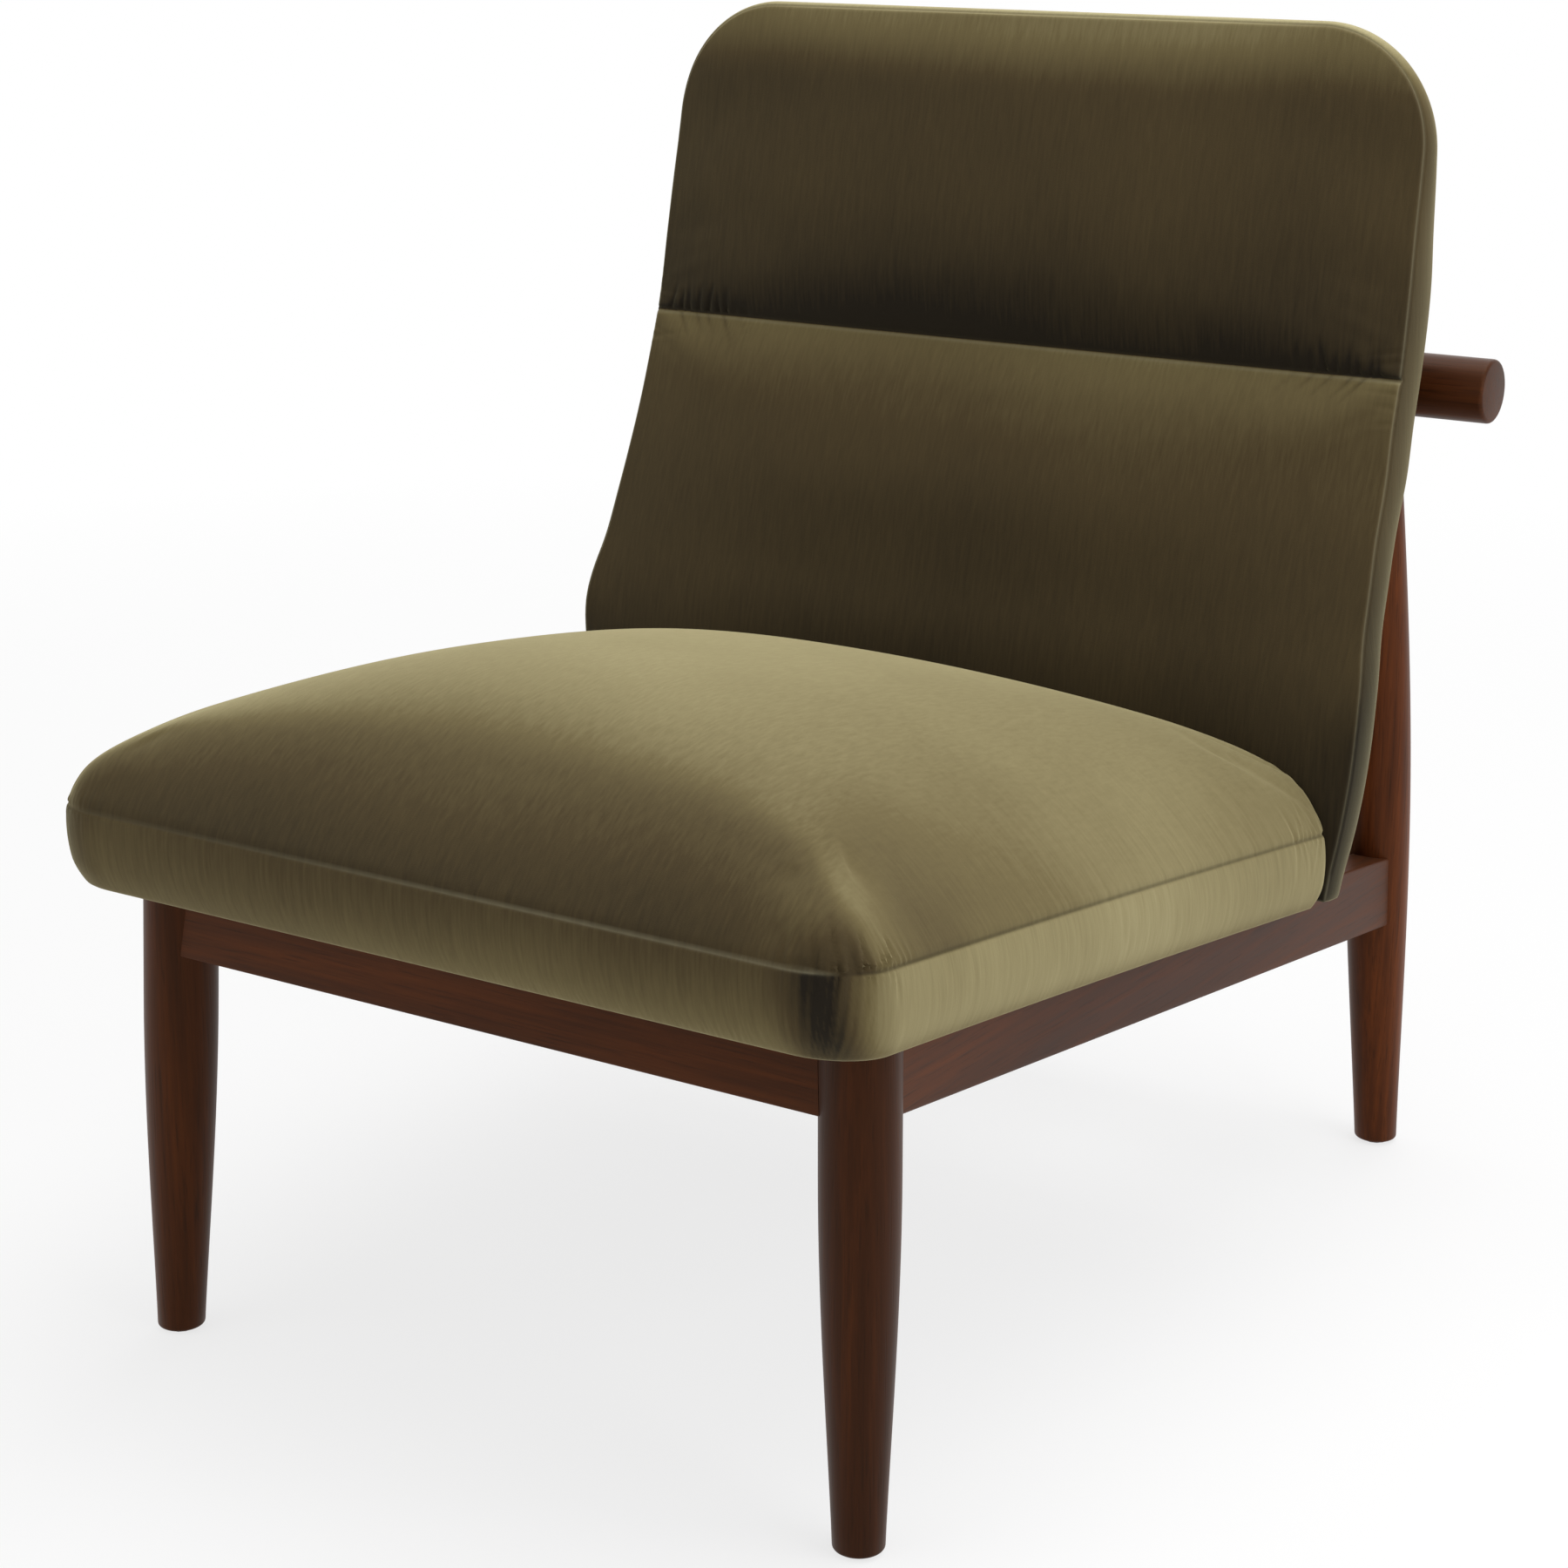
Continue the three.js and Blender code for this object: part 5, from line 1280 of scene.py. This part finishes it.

# The back's velvet: the same cloth, with painted light and shade from how each point faces and
# where it lies: painted shade on the face above the channel, towards the right below it, near its
# foot and in the puckers, and pale as if lit just under the channel's line and over the top edge.
BACK_ROUNDS = 12
smooth = calmed(mesh, normals, BACK_ROUNDS)
sideways, forward, upward = smooth.T
rise = points[:, 2]
from_line = np.exp(-np.abs(over_line) / 0.05)
nap = 0.09 + 0.45 * (upward - 0.3) + 0.12 * sideways
nap += 0.08 * eased(rise, 0.66, 0.73)
right_dark = 0.06 + 0.26 * eased(0.55 - rise, 0, 0.15)
under_line_pale = 0.32 * from_line * (over_line < 0) * eased(-forward, 0.2, 0.7)
over_line_dark = 0.12 * from_line * (over_line >= 0) * on_face
top_pale = 0.42 * eased(rise, 0.8, 0.85) + 0.3 * eased(upward, 0.5, 1.0)
foot_dark = 0.08 * eased(0.42 - rise, 0, 0.12) * on_face
pucker_dark = 130 * push * on_face
nap += under_line_pale - over_line_dark - np.maximum(sideways, 0) * right_dark
nap += top_pale - foot_dark + pucker_dark
# The channel's line: painted shade in its crease and a painted highlight just under it, and a
# painted highlight along the side seams.
line_dark = 0.9 * mound(over_line - 0.0008, 0.0011) * (1 - eased(points[:, 0], 0.262, 0.275))
line_pale = 0.4 * mound(over_line + 0.0014, 0.0012)
keep_painted_light(mesh, nap, (line_dark - line_pale) * on_face - 0.5 * mound(near, 0.0011))
finished(back_pad, SOFT_SMOOTH)
back_velvet = velvet("back_velvet", 2, 0.16)
dressed(back_pad, back_velvet, "velvet", "back_cover", "back_foam_lower", "back_foam_upper")

# The outside back: a padded panel in the same velvet, set in behind the cushion's rear edge. The
# two saddles come through it to the crossbar.
PANEL_INSET = 0.0026
PANEL_SUNK = 0.003
PANEL_CROWN = 0.009
PANEL_PLACES = (0.15, 0.4, 0.7, 0.9, 1.0)
PANEL_BASE = (0.99, 0.995)
PANEL_MOST = 0.003
PANEL_LIGHT_BY_FACING = (0.45, 0.0, 1.1)
PANEL_PAINTED_LIGHT = 0.1
SLOT_ROOM = 0.0005
columns = spaced(2 * BACK_HALF)[::2]
row_places = spaced(top_edge - BACK_LOW, dense_start=False)[::2]
row_places[-1] = columns[-1] = 1.0
x, height, half_at = back_grid(PANEL_INSET, columns, row_places)
band = BACK_BAND * band_share(height)
swell_behind = face_swell(x, height, half_at(height), PANEL_CROWN)
face = back_points(x, height, band + swell_behind)[:, ::-1]
flat = border(np.stack([x, height], axis=2)[:, ::-1])
edge_band = BACK_BAND * band_share(flat[:, 1])
loops = [back_points(*flat.T, edge_band - PANEL_SUNK * share) for share in PANEL_PLACES]
base = back_points(
    x * PANEL_BASE[0], BACK_LOW + (height - BACK_LOW) * PANEL_BASE[1], band - PANEL_SUNK,
)[:, ::-1]
rear_pad = pad("outside_back", face, loops, base)
filled(rear_pad, pinned(rear_pad, x.shape, 1, 1, 1), PANEL_MOST)
for sign in (-1, 1):
    slot_cut = beam(
        "cutter", Matrix.Translation(bolt_place(sign, -SADDLE_LONG)) @ back_turn,
        (SADDLE_WIDE + 2 * SLOT_ROOM, SADDLE_TALL + 2 * SLOT_ROOM, SADDLE_LONG * 2),
        (0, 0, SADDLE_LONG / 2), 0,
    )
    bitten(rear_pad, slot_cut)
mesh = rear_pad.data
# Painted light from how each point faces: paler where the panel faces up or to the right.
nap = read_normals(mesh) @ np.array(PANEL_LIGHT_BY_FACING) + PANEL_PAINTED_LIGHT
keep_painted_light(mesh, nap, np.zeros(len(mesh.vertices)))
finished(rear_pad, SOFT_SMOOTH)
dressed(rear_pad, velvet("outside_back_velvet", 3), "velvet", "back_rear_panel")

# The webbing: four black elastic straps, woven with ribs along them, stretched across the back's
# frame and stapled to its stiles behind the foam.
FRAME_FRONT = 0.0118
STRAP_WIDE = 0.05
STRAP_THICK = 0.0012
STRAP_BEDDED = 0.0002
STRAP_ROWS = 14
STRAP_COLUMNS = 60
RIB = 0.00022
RIB_STEP = 0.0036


def woven_black(name):
    """Black elastic weave, with ribs along the strap and finer ones across it."""
    cloth = Finish(name)
    ribs, cross = (
        cloth.node(
            "ShaderNodeTexWave", {"bands_direction": way}, Vector=cloth.place(), Scale=scale,
            Distortion=bent, Detail=2.0,
        )
        for way, scale, bent in (("Z", 85.0, 0.4), ("X", 180.0, 0.6))
    )
    weave = ribs * 0.6 + cross * 0.4
    tint = cloth.mix(weave.held(), (0.018, 0.018, 0.017, 1), (0.055, 0.054, 0.05, 1))
    return cloth.set(Base_Color=tint, Roughness=0.8, Normal=cloth.bump(weave, 0.0003, 0.6))


strap_cloth = woven_black("black_webbing")
for number in range(1, 5):
    low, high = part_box(f"back_strap_{number}")
    middle_z = (low.z + high.z) / 2
    heights = middle_z + STRAP_WIDE * np.linspace(-0.5, 0.5, STRAP_ROWS)
    x, height = np.meshgrid(np.linspace(-1, 1, STRAP_COLUMNS) * high.x, heights)
    ribbed = RIB * np.cos((height - middle_z) / RIB_STEP * 2 * math.pi)
    front = back_points(x, height, FRAME_FRONT - STRAP_THICK + ribbed * 0.5)
    rear = back_points(x, height, np.full_like(x, FRAME_FRONT - STRAP_BEDDED))
    strap = pad(f"strap_{number}", front, [], rear)
    finished(strap)
    dressed(strap, strap_cloth, "webbing", f"back_strap_{number}")

# The dust cloth: a thin black non-woven cloth, stretched over the rails under the deck boards and
# held down by them. It sags a little in the open middle.
CLOTH_HALF = 0.2957
CLOTH_LOW = -0.0478
CLOTH_HIGH = 0.5458
CLOTH_CORNER = 0.033
CLOTH_UNDER = 0.0004
CLOTH_OVER = 0.0012
CLOTH_SAG = 0.003
CLOTH_OPEN_HALF = 0.235
CLOTH_OPEN_MIDDLE, CLOTH_OPEN_REACH = 0.24, 0.2
cloth_places = np.linspace(0, 1, 61)
x, run, half_at = panel(
    lambda place: seat_side(place) - SEAT_HALF + CLOTH_HALF, CLOTH_LOW, CLOTH_HIGH,
    CLOTH_CORNER, 0.0, cloth_places, cloth_places, (0.15, 0.05),
)
sag = CLOTH_SAG * np.clip(1 - (x / CLOTH_OPEN_HALF) ** 2, 0, 1)
sag *= np.clip(1 - ((run - CLOTH_OPEN_MIDDLE) / CLOTH_OPEN_REACH) ** 2, 0, 1)
over, under = (
    seat_world(np.stack([x, run, side - sag], axis=2)) for side in (CLOTH_OVER, CLOTH_UNDER)
)
dust_cloth = pad("dust_cloth", over, [], under)
finished(dust_cloth)
felt = Finish("black_nonwoven")
fibres = felt.noise(felt.place(), 700.0, 4.0, 0.7)
flecks = felt.mix((fibres * 1.6 - 0.4).held(), (0.010, 0.010, 0.011, 1), (0.032, 0.032, 0.034, 1))
felt.set(Base_Color=flecks, Roughness=0.95, Normal=felt.bump(fibres, 0.0003, 0.5))
dressed(dust_cloth, felt.material, "dust_cloth", "seat_dust_cover")

# The hidden frame: the deck's birch boards, the corner blocks and battens, and the back's stiles
# and rails, screwed and glued, left plain with their saw marks. The cross rail alone is stained.
def plain_wood(name, along, seed):
    """Pale bare wood with its grain along X, Y or Z."""
    wood = Finish(name)
    fine = [70.0, 70.0, 70.0]
    fine[along] = 3.0
    lines = wood.noise(wood.place(fine, (seed, seed * 0.6, seed * 1.9)), 1.5, 5.0, 0.6)
    rings = wood.noise(wood.place([v / 6 for v in fine], (seed, seed, 0)), 1.0, 3.0, 0.5)
    body = wood.node("ShaderNodeValToRGB", {"stops": (
        (0.3, (0.36, 0.225, 0.115)), (0.5, (0.47, 0.315, 0.17)), (0.72, (0.56, 0.40, 0.235)),
    )}, Fac=(rings * 0.6 + lines * 0.4).held())
    return wood.set(
        Base_Color=body, Roughness=lines * 0.2 + 0.55, Normal=wood.bump(lines, 0.0004, 0.4),
    )


def coated(names, material):
    """Gives the frame's own pieces a finish."""
    for name in names:
        nodes[name].data.materials.clear()
        nodes[name].data.materials.append(material)


sides = ("left", "right")
corners = [f"{end}_{side}" for end in ("front", "rear") for side in sides]
coated([f"corner_block_{corner}" for corner in corners], plain_wood("corner_block_wood", 2, 1))
coated(["seat_board_front", "seat_board_rear"], plain_wood("deck_wood_across", 0, 2))
coated(["seat_board_left", "seat_board_right"], plain_wood("deck_wood_along", 1, 3))
coated(["spring_batten_front", "spring_batten_rear"], plain_wood("batten_wood", 0, 4))
coated(["back_stile_left", "back_stile_right"], plain_wood("stile_wood", 2, 5))
coated(["back_top_rail", "back_mid_rail", "back_foot_rail"], plain_wood("back_rail_wood", 0, 6))
coated(["cross_rail"], stained_wood("cross_rail_wood", 0, 31))

# The hardware: sinuous springs of bright wire, zinc-plated T-nuts and wood screws, and dark nylon
# glides that are nailed under the feet.
wire = metal("spring_wire", (0.42, 0.43, 0.45, 1), 0.34)
coated([f"seat_spring_{number}" for number in range(1, 5)], wire)
coated([f"back_{fastener}_{side}" for fastener in ("nut", "foot_screw") for side in sides], zinc)
coated([f"seat_screw_{corner}" for corner in corners], zinc)
nylon = Finish("dark_nylon")
scuffs = nylon.noise(nylon.place((160, 160, 160)), 1.0, 4.0, 0.6)
grime = nylon.mix(scuffs, (0.022, 0.015, 0.012, 1), (0.045, 0.032, 0.026, 1))
nylon.set(Base_Color=grime, Roughness=scuffs * 0.2 + 0.42, Normal=nylon.bump(scuffs, 0.0002, 0.4))
coated([f"glide_{corner}" for corner in corners], nylon.material)
